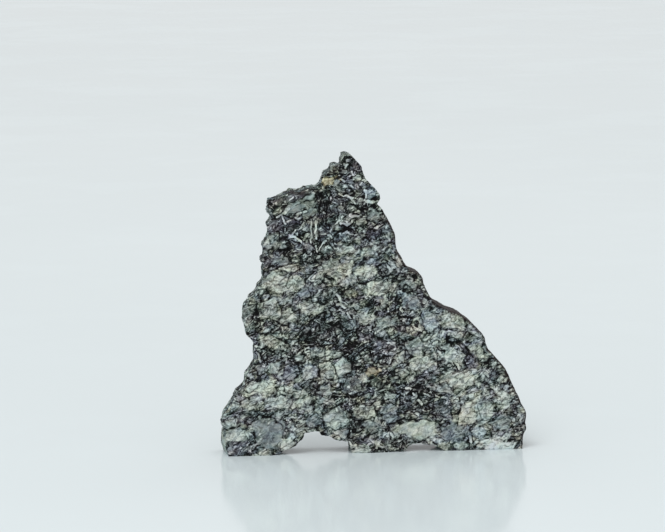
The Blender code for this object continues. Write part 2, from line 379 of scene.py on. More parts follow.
def filled(ring, steps):
    """The grid inside a closed ring of 4 x steps points. It starts on every sixteenth point, or
    the next smaller skip that fits, and doubles the steps until it has them all, because a
    coarse grid is evened in few passes and the fine ones then need only a little more."""
    skip = COARSEST
    grid = None
    while skip:
        if steps % skip == 0 and steps // skip >= LEAST_STEPS:
            loop = np.concatenate([ring, ring[:1]])[::skip]
            n = steps // skip
            left, top = loop[:n + 1], loop[n:2 * n + 1]
            right, bottom = loop[2 * n:3 * n + 1][::-1], loop[3 * n:][::-1]
            if grid is None:
                grid = between_sides(left, top, right, bottom)
            else:
                grid = finer(grid)
            grid[:, 0], grid[-1], grid[:, -1], grid[0] = left, top, right, bottom
            grid = evened(grid, COARSE_PASSES if n < FINE_FROM else FINE_PASSES)
        skip //= 2
    return grid


def cell_areas(grid):
    """Area of each cell: half the cross product of its diagonals."""
    d1, d2 = grid[1:, 1:] - grid[:-1, :-1], grid[1:, :-1] - grid[:-1, 1:]
    return 0.5 * (d1[..., 0] * d2[..., 1] - d1[..., 1] * d2[..., 0])


TRIAL_SIDE = 20
trial_areas = cell_areas(filled(outline[::SIDE // TRIAL_SIDE], TRIAL_SIDE))
print("trial grid:", trial_areas.shape, "area in square mm:", round(float(trial_areas.sum()), 1))

# %% [markdown]
# ## The crystals of the front face
#
# What makes this stone itself is its pattern: pale sage, mint and sand-coloured crystals of
# pyroxene, slate-blue ones, and dark, purplish matter between them. The crystals that the eye
# picks out are listed below, each with its place, half length, half width, tilt and kind.
# The rest is cell noise. A kind says how pale a crystal is, how mottled it is inside and which
# way its colour leans. Needles, cracks and wide soft areas are listed too, and everything
# is written in the outline's units, so that a crystal and the rim next to it are easy to relate.

# %% Kinds of crystal, and what is listed one by one
# Paleness, mottling, and a lean of red, green and blue, all as the eye sees them
KINDS = {
    "sage": (0.540, 1.20, (0.965, 1.020, 0.940)),
    "mint": (0.530, 0.90, (0.935, 1.025, 0.990)),
    "sand": (0.553, 1.15, (0.990, 1.012, 0.925)),
    "ash": (0.468, 1.05, (0.955, 1.013, 0.995)),
    "slate": (0.412, 0.90, (0.930, 1.012, 1.050)),
    "deep": (0.375, 0.60, (0.925, 1.020, 1.035)),
    "sky": (0.510, 0.95, (0.920, 1.015, 1.060)),
    "plum": (0.335, 0.90, (0.970, 0.995, 1.065)),
    "ink": (0.272, 1.10, (0.955, 1.010, 1.020)),
    "olive": (0.330, 0.95, (0.990, 1.025, 0.900)),
    "umber": (0.300, 0.70, (0.990, 1.003, 0.990)),
    "dusk": (0.290, 0.90, (0.930, 1.020, 1.030)),
    "lilac": (0.560, 0.90, (0.965, 1.000, 1.055)),
    "white": (0.740, 0.95, (0.945, 1.005, 1.045)),
    "milk": (0.560, 0.60, (0.950, 1.030, 0.940)),
    "yellow": (0.560, 0.80, (1.120, 1.030, 0.680)),
    "rust": (0.550, 0.80, (1.120, 1.020, 0.750)),
    "blush": (0.580, 0.90, (1.030, 0.993, 0.970)),
}
KIND_NAMES = list(KINDS)

# Crystals: right, down, half length, half width, tilt in degrees, kind
CRYSTALS = [
    (343, 156, 6, 7, 0, "dusk"), (354, 162, 4, 4, 0, "umber"), (332, 169, 6, 5, 20, "olive"),
    (330, 180, 9, 4.2, 10, "yellow"), (356, 176, 5, 4, 0, "sage"), (349, 185, 9, 6, 0, "plum"),
    (344, 171, 5, 4, 0, "ash"), (337, 180, 3, 3, 0, "mint"), (341, 187, 5, 4, 0, "slate"),
    (370, 192.5, 5.5, 7, 0, "sky"), (292, 197, 27, 7.5, 16, "umber"),
    (278, 195, 12, 4, 20, "ash"), (300, 205, 17, 6.5, 24, "mint"), (310, 211, 9, 6, 10, "mint"),
    (283, 227, 18, 11, 0, "plum"), (326, 206, 5, 13, 4, "ink"), (329, 235, 8, 9, 0, "dusk"),
    (335, 208, 12, 6, 0, "dusk"), (345, 208, 9, 6, 0, "ash"), (309, 244, 5, 4, 0, "lilac"),
    (353.5, 214, 4.2, 2.8, 0, "lilac"), (345, 235, 12, 6, 10, "slate"),
    (372, 213, 8, 6, -45, "mint"), (362, 221, 6, 5, 0, "sage"), (375, 232, 8, 9, 0, "plum"),
    (386, 234, 5, 11, 10, "slate"), (272, 240, 12, 8, 40, "ash"), (281, 244, 8, 6, 15, "ash"),
    (285, 250, 6, 3, 0, "ink"), (267, 262, 6, 6, 0, "plum"), (281, 260, 9, 6, 0, "slate"),
    (291, 268, 9, 4.5, 0, "sand"), (296, 259, 4, 3, 0, "sand"), (312, 256, 13, 6, 0, "ink"),
    (300, 247, 6, 5, 0, "slate"), (338, 266, 20, 10, 5, "sage"), (328, 250, 8, 6, 0, "mint"),
    (346, 258, 5, 4, 0, "lilac"), (345, 249, 12, 5, 8, "sage"), (370, 250, 13, 4.5, 28, "sage"),
    (371, 259, 9, 3.2, 10, "slate"), (366, 270, 13, 8, 0, "sage"),
    (280, 282, 14, 12, 0, "sage"), (296, 283, 9, 8, 0, "sage"), (308, 290, 8, 7, 0, "slate"),
    (320, 290, 10, 10, 0, "slate"), (346, 280, 9, 5, 0, "ash"), (364, 288, 6, 4, 0, "lilac"),
    (351, 291, 7, 5, 0, "olive"), (332, 292, 8, 7, 0, "slate"), (391, 259, 2, 6, 0, "ink"),
    (386, 268, 10, 5.5, 0, "plum"), (393, 266, 7, 7, 0, "lilac"), (400, 256, 5, 8, 0, "blush"),
    (400, 276, 15, 3.6, 5, "ink"), (410, 283, 10, 5.5, 0, "ash"),
    (409, 286, 4.5, 3.4, 0, "ink"), (379, 287, 20, 7, 4, "sage"), (410, 299, 10, 8, 0, "sky"),
    (386, 302, 6, 5, 0, "sage"), (388, 319, 10, 8, 0, "mint"), (418, 321, 7, 8, 0, "sand"),
    (417, 321, 3, 2.8, 0, "ink"), (431, 319, 10, 12, 0, "sky"), (478, 350, 11, 6, -35, "sage"),
    (455, 319, 15, 10, 0, "sage"), (458, 333, 8, 4, 0, "sand"), (455, 354, 16, 9, -20, "sage"),
    (287, 316, 11, 6, 45, "sage"), (272, 309, 13, 12, 0, "sage"), (312, 307, 12, 7, 0, "sage"),
    (320, 331, 19, 12, 0, "ink"), (343, 339, 3.4, 5, 0, "lilac"),
    (273, 341, 11, 8.5, 0, "sage"), (250, 313, 7, 13, -16, "ash"), (251, 300, 5, 5, 0, "sage"),
    (273, 356, 11, 5.5, 0, "ink"), (275, 367, 8, 7, 0, "mint"), (264, 367, 6, 7, 0, "umber"),
    (253, 375, 3.2, 3.2, 0, "white"), (292, 369, 8, 11, 0, "plum"),
    (311, 372, 9, 8, 0, "lilac"), (320, 351, 8, 6.5, 0, "ash"), (335, 352, 8.5, 4.6, 0, "sage"),
    (329, 367, 9, 10.5, 0, "sage"), (345, 365, 10, 9.5, 0, "mint"),
    (353, 385, 10, 9.5, 0, "deep"), (326, 389, 7, 6, 0, "ash"), (311, 385, 8, 5, 0, "ink"),
    (303, 393, 9, 5, 0, "sage"), (301, 403, 9.5, 5.2, 0, "sage"), (264, 388, 17, 9, 20, "sage"),
    (282, 401, 11, 7, 0, "ash"), (252, 401, 12, 7, 30, "ash"), (257, 413, 18, 2.6, 0, "dusk"),
    (270, 432, 16.5, 17, 0, "deep"), (238, 436, 14, 8, 0, "mint"), (243, 448, 15, 7, 0, "plum"),
    (232, 422, 9, 6, 0, "ash"), (269, 452.5, 9, 3.2, 0, "sand"), (288, 444, 9, 6, 20, "sage"),
    (295, 435, 5, 3, 0, "sky"), (338, 419, 12, 11, 24, "mint"), (354, 423, 3, 8, 14, "ink"),
    (367, 411, 12, 9, 0, "sage"), (316, 420, 9, 7, 0, "slate"), (364, 449, 11, 3.8, 0, "ash"),
    (375.5, 369.5, 6.5, 4.4, 0, "rust"), (366, 377, 5, 4, 0, "sand"),
    (382, 381, 12, 6, 0, "olive"), (392, 393, 7, 5, 0, "sage"), (401, 340, 4, 7, 25, "ink"),
    (385, 346, 14, 11, 0, "plum"), (402, 358, 6, 4, 0, "sage"), (424, 360, 13, 9, 20, "sage"),
    (417, 346, 9, 8, 60, "mint"), (472, 359, 8, 7, 0, "plum"), (461, 378, 19, 9, 0, "sand"),
    (486, 373, 5.5, 6.5, 0, "ash"), (495, 366, 5.5, 12, 10, "dusk"),
    (507, 398, 7, 13, 15, "sage"), (443, 386, 10, 6, 0, "ash"), (439, 353, 7, 6, 0, "mint"),
    (420, 396, 20, 14, 0, "ink"), (472, 411, 10, 12, 0, "sand"), (486, 411, 9, 12, 0, "mint"),
    (457, 431, 14, 10, 0, "slate"), (483, 429, 7, 6, 0, "sky"), (420, 428, 22, 9.5, 5, "milk"),
    (501, 443, 20, 6.0, -4, "white"), (484, 443, 3.4, 3, 0, "blush"),
    (520, 425, 5, 5, 0, "ink"), (505, 421, 9, 9, 0, "slate"), (389, 434, 3.4, 3, 0, "white"),
    (401, 442, 6, 5, 0, "ink"), (448, 445, 9, 4.6, 0, "sand"), (463, 444, 8, 5, 0, "mint"),
    (392, 412, 10, 9, 0, "slate"), (376, 424, 9, 8, 0, "ash"), (444, 405, 9, 8, 0, "plum"),
    (350, 320, 10, 8, 0, "slate"), (365, 316, 11, 6, -25, "sage"), (366, 330, 9, 8, 0, "plum"),
]

# Feldspar needles and flecks, whose white is a painted glint of light off the laths: right and
# down of both ends, half width
NEEDLES = [
    (340, 194, 348, 196, 0.9), (348, 196, 358, 198, 1.0), (366, 201.5, 374, 200.5, 1.3),
    (366, 189, 367, 198, 1.0), (285, 212, 290, 208, 1.3), (277, 217, 285, 213, 1.1),
    (283, 214, 284, 221, 0.8), (311, 221, 313, 242, 0.7), (315.5, 221, 317, 238, 1.2),
    (316, 245, 318, 249, 0.9), (320, 248, 326, 240, 0.9), (329, 233, 332, 238, 0.8),
    (292, 234, 304, 226, 1.0), (291, 233, 303, 241, 1.1), (290, 235.5, 297, 236, 0.9),
    (301, 228, 304, 222, 0.8), (335, 222.5, 341, 219.5, 1.1), (341, 223, 349, 222.5, 1.2),
    (349, 223, 353, 219.5, 0.9), (339, 233, 346, 230.5, 0.9), (346, 231, 357, 233, 0.8),
    (351, 213, 357, 215, 1.6), (280, 268, 291, 268.5, 1.2), (345, 167, 348, 164, 1.0),
    (351, 170, 353, 173, 0.8), (341, 178, 345, 181, 0.9), (297, 214, 306, 211, 0.9),
    (337, 293, 342, 300, 1.2), (338, 303, 346, 306, 1.2), (344, 300, 349, 302, 0.8),
    (339, 308, 345, 312, 1.3), (348, 311, 352, 316, 1.0), (316, 320, 321, 322, 0.9),
    (342, 339, 344, 341, 1.0), (258, 352, 261, 360, 1.0), (341, 405, 343, 411, 0.7),
    (345, 405, 347, 411, 0.7), (337, 404, 339, 410, 0.7), (352, 441, 354, 443, 1.2),
    (388, 342, 397, 341, 1.1), (459, 362, 461, 366, 1.3), (420, 399, 423, 403, 1.6),
    (408, 386, 412, 387, 1.1), (415, 392, 418, 395, 0.9), (438, 394, 441, 396, 1.0),
    (427, 392, 431, 394, 1.0), (487, 372, 491, 375, 1.0), (442, 335, 445, 329, 1.1),
    (445, 329, 455, 330, 0.8), (388, 393, 393, 397, 0.9), (375, 439, 385, 446, 1.2),
    (378, 446, 383, 438, 1.0), (393, 432, 395, 436, 1.1), (472, 436, 474, 441, 1.8),
    (436, 442, 439, 446, 1.4), (381, 391, 389, 388, 0.8), (352, 199, 357, 202, 0.8),
]

# Open black cracks and seams: right and down of both ends, half width
CRACKS = [
    (448, 332, 449, 342, 1.3), (449, 342, 456, 339, 1.6), (456, 339, 464, 341, 1.6),
    (464, 341, 470, 347, 1.3), (332, 357, 336, 366, 0.9), (336, 366, 340, 376, 0.9),
    (335, 357, 348, 353, 0.9), (348, 353, 355, 363, 0.8), (355, 363, 354, 371, 0.8),
    (354, 371, 341, 375, 0.9), (335, 357, 322, 362, 0.8), (321, 370, 333, 378, 0.8),
    (479, 447, 486, 439, 1.0), (486, 439, 494, 436, 1.0), (494, 436, 510, 440, 0.8),
    (262, 414, 275, 416, 1.0), (275, 416, 284, 424, 0.9), (284, 424, 286, 436, 0.6),
    (343, 380, 342, 390, 0.8), (342, 390, 350, 396, 0.9), (350, 396, 362, 391, 0.8),
    (327, 196, 327, 222, 0.9), (360, 282, 371, 281, 1.2), (482, 380, 495, 385, 1.2),
    (263, 332, 284, 332, 0.9), (400, 334, 402, 345, 1.2), (320, 357, 322, 376, 0.7),
    (325, 407, 327, 430, 0.8), (253, 417, 262, 414, 1.0), (270, 204, 275, 206, 1.8),
    (284, 203, 286, 206, 1.6), (398, 418, 442, 419, 0.8), (436, 345, 440, 365, 0.8),
    (302, 296, 300, 322, 0.7), (440, 338, 444, 352, 0.7), (442, 366, 470, 365, 0.7),
    (462, 398, 461, 424, 0.8), (280, 250, 291, 247, 1.2), (266, 203, 270, 201, 1.6),
    (440, 344, 446, 350, 1.3),
]

# Wide soft areas that are darker or paler than the rest: right, down, radius, change
AREAS = [
    (335, 205, 55, -0.045), (290, 228, 24, -0.09), (345, 156, 9, -0.10), (330, 327, 20, -0.06),
    (358, 346, 18, -0.18), (307, 349, 12, -0.10), (424, 398, 24, -0.08), (442, 434, 14, 0.08),
    (352, 262, 16, 0.06), (325, 257, 14, -0.10), (280, 283, 16, 0.02), (256, 314, 13, -0.10),
    (272, 393, 26, 0.075), (452, 330, 20, 0.05), (428, 352, 14, 0.05), (470, 390, 22, 0.08),
    (333, 368, 12, 0.07), (372, 285, 14, 0.02), (395, 304, 15, -0.14), (508, 400, 14, 0.02),
    (385, 385, 14, -0.06), (368, 212, 16, -0.07), (328, 290, 10, -0.07), (340, 320, 10, -0.05),
    (370, 320, 10, 0.06), (298, 305, 12, 0.06), (304, 270, 10, 0.04), (350, 398, 16, -0.10),
    (240, 421, 12, 0.10), (286, 440, 11, 0.10), (504, 441, 12, 0.11), (362, 446, 10, 0.08),
    (285, 207, 10, 0.04), (422, 428, 12, 0.05), (288, 379, 11, 0.05), (396, 334, 9, 0.06),
    (415, 343, 8, -0.06), (385, 253, 8, 0.05), (362, 238, 20, -0.05), (355, 250, 9, 0.08),
    (323, 227, 9, 0.04), (328, 247, 8, -0.05), (300, 241, 9, -0.04), (296, 387, 9, 0.06),
    (402, 331, 7, 0.06), (411, 345, 8, -0.05), (438, 362, 10, 0.06), (478, 375, 9, 0.06),
    (452, 412, 7, 0.05), (233, 444, 8, 0.06), (273, 450, 6, 0.06), (400, 282, 9, 0.05),
    (435, 303, 8, 0.05), (366, 446, 9, 0.04), (358, 354, 8, -0.04), (314, 308, 7, -0.05),
    (345, 306, 9, 0.04), (303, 331, 7, 0.04), (236, 408, 8, -0.05), (269, 431, 12, -0.06),
    (302, 199, 12, -0.06), (266, 212, 8, -0.06), (266, 243, 8, 0.05), (320, 273, 7, -0.04),
    (408, 308, 7, -0.04), (411, 345, 7, -0.05), (349, 366, 8, 0.05), (262, 298, 7, 0.05),
    (378, 253, 8, 0.05), (346, 157, 7, -0.05), (267, 314, 9, -0.06), (253, 388, 9, -0.05),
    (391, 351, 7, -0.05), (385, 262, 8, -0.04), (326, 398, 8, -0.05), (457, 431, 8, -0.05),
    (515, 420, 8, 0.06), (440, 348, 9, 0.05), (355, 290, 7, 0.05), (272, 243, 8, 0.04),
    (479, 371, 8, 0.04), (400, 402, 10, 0.04), (315, 335, 12, -0.03), (345, 168, 6, -0.06),
    (420, 424, 9, 0.05), (340, 365, 8, 0.05), (268, 428, 10, 0.06),
]

# Wide soft areas whose crystals are less mottled than the rest: right, down, radius, share less
CALM_AREAS = [
    (284, 203, 24, 0.60), (325, 215, 26, 0.25), (345, 155, 9, 0.4), (270, 432, 15, 0.25),
    (352, 385, 9, 0.35), (420, 428, 14, 0.15), (349, 245, 14, 0.2),
]

# Soft areas that lean to warm green-beige, or below zero to cool grey-blue: right, down, radius,
# lean
LEANS = [
    (275, 292, 18, 0.9), (270, 340, 9, 0.8), (345, 266, 22, 0.6), (365, 218, 11, 0.8),
    (240, 405, 12, 0.9), (461, 412, 9, 1.0), (476, 370, 9, 0.8), (415, 352, 17, 0.6),
    (355, 291, 8, 0.7), (300, 262, 9, 0.6), (283, 377, 14, 0.4), (395, 355, 9, 0.6),
    (348, 237, 10, -0.9), (431, 326, 13, -0.8), (262, 434, 24, -0.6), (330, 416, 12, -0.6),
    (492, 416, 16, -0.6), (460, 438, 13, -0.7), (376, 256, 11, -0.7), (368, 192, 9, -0.8),
    (405, 287, 13, -0.6), (352, 306, 9, -0.5), (455, 352, 11, -0.5), (310, 288, 8, -0.5),
    (302, 372, 10, -0.4), (435, 368, 9, -0.5), (375, 430, 12, -0.4),
]
LEAN_REACH = 0.028           # share by which red rises and blue falls at a lean of one
print("set by hand:", len(CRYSTALS), "crystals,", len(NEEDLES), "needles,", len(CRACKS), "cracks")

# %% Distances to the listed shapes
FACE_MIDDLE = 375.4          # where the front face's middle is seen, in outline units
FACE_UNIT = (0.1037, 0.1041)  # millimetres on the front face for one unit, across and up
FAR = 30.0                   # what counts as far from everything, in outline units
CORNERS = (4, 8)             # a crystal has four to seven straight edges,
CORNER_SHIFT = 0.3           # turned from even angles by up to this share of one,
EDGE_REACH = (0.76, 1.08)    # at this share of its half length or half width


def on_face(right, down):
    """Outline units as millimetres on the front face, which lies nearer to the eye than the
    outline does, so that it is seen a little larger and further right."""
    z = (SAW_LINE_LEFT - SAW_LINE_SLOPE * (right - LOW_END) - down) * FACE_UNIT[1]
    return (right - FACE_MIDDLE) * FACE_UNIT[0] + UPRIGHT_SLOPE * z, z


def in_units(places):
    """Millimetres on the front face back to outline units, the inverse of on_face."""
    right = (places[..., 0] - UPRIGHT_SLOPE * places[..., 1]) / FACE_UNIT[0] + FACE_MIDDLE
    down = SAW_LINE_LEFT - SAW_LINE_SLOPE * (right - LOW_END) - places[..., 1] / FACE_UNIT[1]
    return right, down


def to_segment(right, down, x0, y0, x1, y1):
    """Distance to a straight stretch: to the nearest point on it, which is the place projected
    on its line and kept between its ends."""
    dx, dy = x1 - x0, y1 - y0
    share = np.clip(((right - x0) * dx + (down - y0) * dy) / (dx * dx + dy * dy), 0.0, 1.0)
    return np.hypot(right - x0 - share * dx, down - y0 - share * dy)


def nearest_stretch(right, down, stretches):
    """How far outside the nearest of the stretches a place is: distance minus half width."""
    best = np.full(right.shape, FAR)
    for x0, y0, x1, y1, half in stretches:
        best = np.minimum(best, to_segment(right, down, x0, y0, x1, y1) - half)
    return best


def nearest_crystal(right, down):
    """How far outside the nearest listed crystal a place is, that crystal's kind, and how far
    away any crystal's border is. A crystal is a polygon round its place, stretched to its length
    and width: outside is how far beyond one the place lies by the edge that it is farthest past,
    times the smaller of the half length and the half width. Where two overlap, the later wins."""
    best = np.full(right.shape, FAR)
    kind = np.zeros(right.shape, dtype=int)
    border = np.full(right.shape, FAR)
    draw = np.random.default_rng(17)
    for x0, y0, long, wide, tilt, name in CRYSTALS:
        c, s = math.cos(math.radians(tilt)), math.sin(math.radians(tilt))
        along = ((right - x0) * c - (down - y0) * s) / long
        across = ((right - x0) * s + (down - y0) * c) / wide
        outside = np.full(right.shape, -1.0)
        corners = draw.integers(*CORNERS)
        for edge in range(corners):
            angle = math.tau * (edge + draw.uniform(-CORNER_SHIFT, CORNER_SHIFT)) / corners
            reach = draw.uniform(*EDGE_REACH)
            beyond = (along * math.cos(angle) + across * math.sin(angle)) / reach - 1.0
            outside = np.maximum(outside, beyond)
        outside = outside * min(long, wide)
        border = np.minimum(border, np.abs(outside))
        wins = (outside < best) | (outside < 0.0)
        kind = np.where(wins, KIND_NAMES.index(name), kind)
        best = np.where(wins, np.minimum(outside, best), best)
    return best, kind, border


trial = np.array(on_face(300.0, 400.0))
print("300 right, 400 down is", trial.round(2), "mm on the face; back again:",
      [round(float(v), 2) for v in in_units(trial)])

# %% [markdown]
# ## Between the crystals
#
# Away from the listed crystals the rock is a mosaic of smaller crystals. Cell noise gives
# one cell for each, on coordinates that are bent first so that no border is straight, and the
# cell's own random number picks its kind. The back and the flanks have no listed crystals,
# so there large cells of a second mosaic lie over some of the small ones. Short needles, white
# with a painted glint of light, lie in the dark parts in every direction.

# %% The mosaic and the random needles
MOSAIC = [
    ("sage", 0.18), ("mint", 0.11), ("sand", 0.08), ("ash", 0.13), ("slate", 0.14),
    ("sky", 0.04), ("plum", 0.13), ("ink", 0.13), ("olive", 0.04), ("lilac", 0.02),
]
MOSAIC_SIZE = 0.78           # millimetres from one small crystal to the next
LARGE_SIZE = 1.9             # and from one large one to the next
LARGE_SHARE = 0.55           # share of the large cells that lie over the small ones
STRETCH = np.array([0.9, 1.1])      # cells are a little longer than high
WIDE_BEND = (1.10, 0.24)     # millimetres: how long the bends of a border are and how deep
FINE_BEND = (0.42, 0.14)
HAND_BEND = 0.4              # share of the wide bend for what is listed one by one

MEAN_PALENESS = 0.445
MOSAIC_CONTRAST = 0.45       # share of a kind's distance from the mean that small crystals show
HAND_CONTRAST = 0.95         # the same for listed and for large crystals
AREA_STRENGTH = 1.25         # how much of an area's change is used
PALE_LIMIT = 0.56            # above this, paleness rises by PALE_KEPT only
PALE_KEPT = 0.65
DRIFT = (0.05, 0.9)          # slow change of paleness: strength, and size in millimetres
BACK_DRIFT = (0.13, 3.0)     # the same on the back, instead of listed areas
SURROUND = 0.035             # the matter just outside a listed crystal is darker by this much
SURROUND_REACH = (4.0, 1.0)  # from where to where it darkens, in outline units
INSIDE = 0.35                # a place this little outside a crystal still counts as in it
OWN_REACH = (0.6, -1.2)      # from where to where a crystal's own calm inside begins
DARK_PALENESS = (0.44, 0.32)        # needles show in what is darker: from where, wholly where
NEEDLE_HIDDEN = 2.5          # in pale crystals a needle is moved this far away
NEEDLE_THIN, CRACK_THIN = 0.05, 0.25    # listed needles and cracks are thinner by this much

# Random needles, white with a painted glint of light off feldspar laths: how many, and between
# which numbers each is drawn, in outline units
FLECK_COUNT = 900
FLECK_DOWN, FLECK_LENGTH, FLECK_HALF_WIDTH = (150.0, 456.0), (1.0, 4.5), (0.15, 0.55)

WARM_DRIFT = (1.2, 1.6)      # slow change from cool to warm: strength, and size in millimetres
WARM_DRIFT_BY_HAND = 0.45    # share of it where leans are listed
GAMMA = 2.2                  # from tones as the eye sees them to shares of light
TINT_STRENGTH = 0.65         # share of a kind's distance from the mean tint that is used
MEAN_TINT = np.array([0.962, 1.012, 0.995])
PALE_TINT = np.array([0.985, 1.010, 0.975])         # what the palest places tend to
paleness, mottling, tints = (np.array(row) for row in zip(*KINDS.values()))
tints = (MEAN_TINT + TINT_STRENGTH * (tints - MEAN_TINT)) ** GAMMA


def bent(places, seed, share=1.0):
    """Places shifted by smooth noise of their own, so that straight borders come out wavy. The
    share makes the wide bends smaller, so that what is listed stays in its place."""
    shifted = places
    for (size, reach), part, step in ((WIDE_BEND, share, 0), (FINE_BEND, 1.0, 2)):
        noise = [smooth_noise(places / size, seed + step + k) for k in (0, 1)]
        shifted = shifted + reach * part * np.stack(noise, axis=-1)
    return shifted


def mosaic(places, seed, size):
    """For each place the kind of the cell that it is in, the distance to the cell's border in
    millimetres, and a second random number of the cell."""
    _, gap, owner, _ = crystals(bent(places, seed + 40) / size * STRETCH, seed)
    draw = chance(owner, seed + 3)
    steps = np.cumsum([share for _, share in MOSAIC])
    numbers = np.array([KIND_NAMES.index(name) for name, _ in MOSAIC])
    kind = numbers[np.minimum(np.searchsorted(steps, draw * steps[-1]), len(numbers) - 1)]
    return kind, gap * size * 0.5, chance(owner, seed + 7)


def two_mosaics(places, seed):
    """Small crystals with large ones among them: a share of the large cells lies over the small.
    Says the kind, the distance to a border, and where a large crystal is."""
    kind, border, _ = mosaic(places, seed, MOSAIC_SIZE)
    large_kind, large_border, draw = mosaic(places, seed + 600, LARGE_SIZE)
    over = draw < LARGE_SHARE
    border = np.where(over, large_border, np.minimum(border, large_border))
    return np.where(over, large_kind, kind), border, over


def toned(kind, contrast):
    """The kind's paleness, with only the contrast's share of its distance from the mean."""
    return MEAN_PALENESS + contrast * (paleness[kind] - MEAN_PALENESS)


def random_flecks(seed, count):
    """Short stretches all over the stone, each at its own angle."""
    draw = np.random.default_rng(seed)
    right = draw.uniform(LOW_END, HIGH_END, count)
    down = draw.uniform(*FLECK_DOWN, count)
    angle = draw.uniform(0.0, math.pi, count)
    length = draw.uniform(*FLECK_LENGTH, count)
    half = draw.uniform(*FLECK_HALF_WIDTH, count)
    ends = [right + length * np.cos(angle), down + length * np.sin(angle)]
    return np.stack([right, down, *ends, half], 1)


def soft_spot(right, down, x0, y0, radius):
    """1 at the middle, fading with the distance as a bell: exp(-(distance / radius)^2)."""
    return np.exp(-((right - x0) ** 2 + (down - y0) ** 2) / radius ** 2)


def painted(places, seed, by_hand):
    """Everything that the material reads, for places on a wide face: paleness, mottling and tint
    of the kind there, the distances to a border, a needle and a crack in outline units, and
    own, which is 1 well inside a listed crystal and 0 outside."""
    right, down = in_units(bent(places, seed + 70, HAND_BEND))
    warm = WARM_DRIFT[0] * smooth_noise(places / WARM_DRIFT[1], seed + 90)
    calm_share = np.ones(right.shape)
    own = np.zeros(right.shape)
    if by_hand:
        kind, border, _ = mosaic(places, seed, MOSAIC_SIZE)
        pale = toned(kind, MOSAIC_CONTRAST)
        warm = WARM_DRIFT_BY_HAND * warm
        outside, hand_kind, hand_border = nearest_crystal(right, down)
        inside = outside < INSIDE
        own = eased(outside, *OWN_REACH)
        kind = np.where(inside, hand_kind, kind)
        border = np.where(inside, hand_border * UNIT, np.minimum(hand_border * UNIT, border))
        pale = np.where(inside, toned(kind, HAND_CONTRAST),
                        pale - SURROUND * eased(outside, *SURROUND_REACH))
        for x0, y0, radius, change in AREAS:
            pale = pale + AREA_STRENGTH * change * soft_spot(right, down, x0, y0, radius)
        for x0, y0, radius, change in LEANS:
            warm = warm + change * soft_spot(right, down, x0, y0, radius)
        for x0, y0, radius, less in CALM_AREAS:
            calm_share = calm_share * (1.0 - less * soft_spot(right, down, x0, y0, radius))
    else:
        kind, border, over = two_mosaics(places, seed)
        pale = toned(kind, np.where(over, HAND_CONTRAST, MOSAIC_CONTRAST))
        pale = pale + waves(places, BACK_DRIFT, 2, seed + 95)
    pale = pale - (1.0 - PALE_KEPT) * np.maximum(0.0, pale - PALE_LIMIT)
    pale = pale + waves(places, DRIFT, 3, seed + 9)

    needle = nearest_stretch(right, down, random_flecks(seed + 200, FLECK_COUNT))
    needle = needle + NEEDLE_HIDDEN * (1.0 - eased(pale, *DARK_PALENESS))
    crack = np.full(right.shape, FAR)
    if by_hand:
        needle = np.minimum(needle, nearest_stretch(right, down, NEEDLES) + NEEDLE_THIN)
        crack = nearest_stretch(right, down, CRACKS) + CRACK_THIN
    lean = (1.0 + LEAN_REACH * warm[..., None] * np.array([1.0, 0.0, -1.0])) ** GAMMA
    return {"paleness": pale, "mottling": mottling[kind] * calm_share, "tint": tints[kind] * lean,
            "border": border / UNIT, "needle": needle, "crack": crack, "own": own}


trial_kind, trial_border, _ = mosaic(outline, 1, MOSAIC_SIZE)
print("kinds met along the rim:", len(np.unique(trial_kind)),
      "mean distance to a border in mm:", round(float(trial_border.mean()), 3))

# %% [markdown]
# ## Relief of the wide faces
#
# A sawn face is flat from afar and rough from near. Each crystal was left at its own height
# and at its own slight tilt, soft dark matter was plucked out deeper than hard pale crystals,
# and a few grains fell out and left pits. At the top left a corner chipped off, so the face
# falls back there. All of it only goes inwards, because the saw cut off what stood out.

# %% Depth below the flat of a face
# Pits: right, down and radius in outline units, depth in millimetres
PITS = [
    (286, 249, 7, 0.26), (271, 204, 7, 0.34), (327, 212, 7, 0.20), (366, 281, 8, 0.20),
    (391, 277, 9, 0.22), (386, 254, 6, 0.22), (452, 341, 7, 0.24), (462, 340, 7, 0.28),
    (470, 347, 5, 0.22), (488, 382, 7, 0.30), (404, 343, 9, 0.24), (345, 338, 12, 0.18),
    (318, 330, 10, 0.18), (264, 352, 9, 0.24), (356, 418, 8, 0.24), (380, 396, 12, 0.20),
    (425, 402, 10, 0.24), (446, 398, 8, 0.26), (247, 417, 7, 0.22), (306, 428, 7, 0.28),
    (519, 428, 6, 0.28), (352, 190, 7, 0.20), (298, 336, 8, 0.22),
]
BACK_PITS = [
    (292, 262, 10, 0.30), (341, 215, 8, 0.24), (372, 300, 14, 0.26), (431, 352, 10, 0.32),
    (478, 412, 12, 0.26), (258, 398, 10, 0.30), (318, 372, 15, 0.24), (401, 418, 10, 0.26),
    (284, 322, 9, 0.22),
]
PIT_WOBBLE = (0.4, 0.5)      # how far a pit is from round, and over how many millimetres
CHIP_START, CHIP_END = (262, 209), (322, 190)       # the chip's lower edge, in outline units
CHIP_MOST = 0.85             # millimetres
CHIP_LUMPS = (0.35, 0.7)     # share of the depth, and size in millimetres
CHIP_END_SLOPE = 2.0         # how steeply it ends at the right

# In millimetres: strength and size of the noise, then size, step and tilt of the crystals
SWELL = (0.05, 2.6)
GRAIN = (0.02, 0.22)
LARGE_RELIEF = (1.1, 0.06, 0.09)
SMALL_RELIEF = (0.42, 0.035, 0.14)
GROOVE = (0.07, 0.02)        # half width and depth of the groove between two crystals
PLUCKED = 0.10               # the darkest matter lies this much deeper
PLUCKED_PALENESS = (0.50, 0.22)     # from which paleness on, and wholly at which
CRACK_DEPTH, NEEDLE_HEIGHT = 0.05, 0.02
RIM_REACH = 0.8              # outline units over which a crack or needle fades into the face


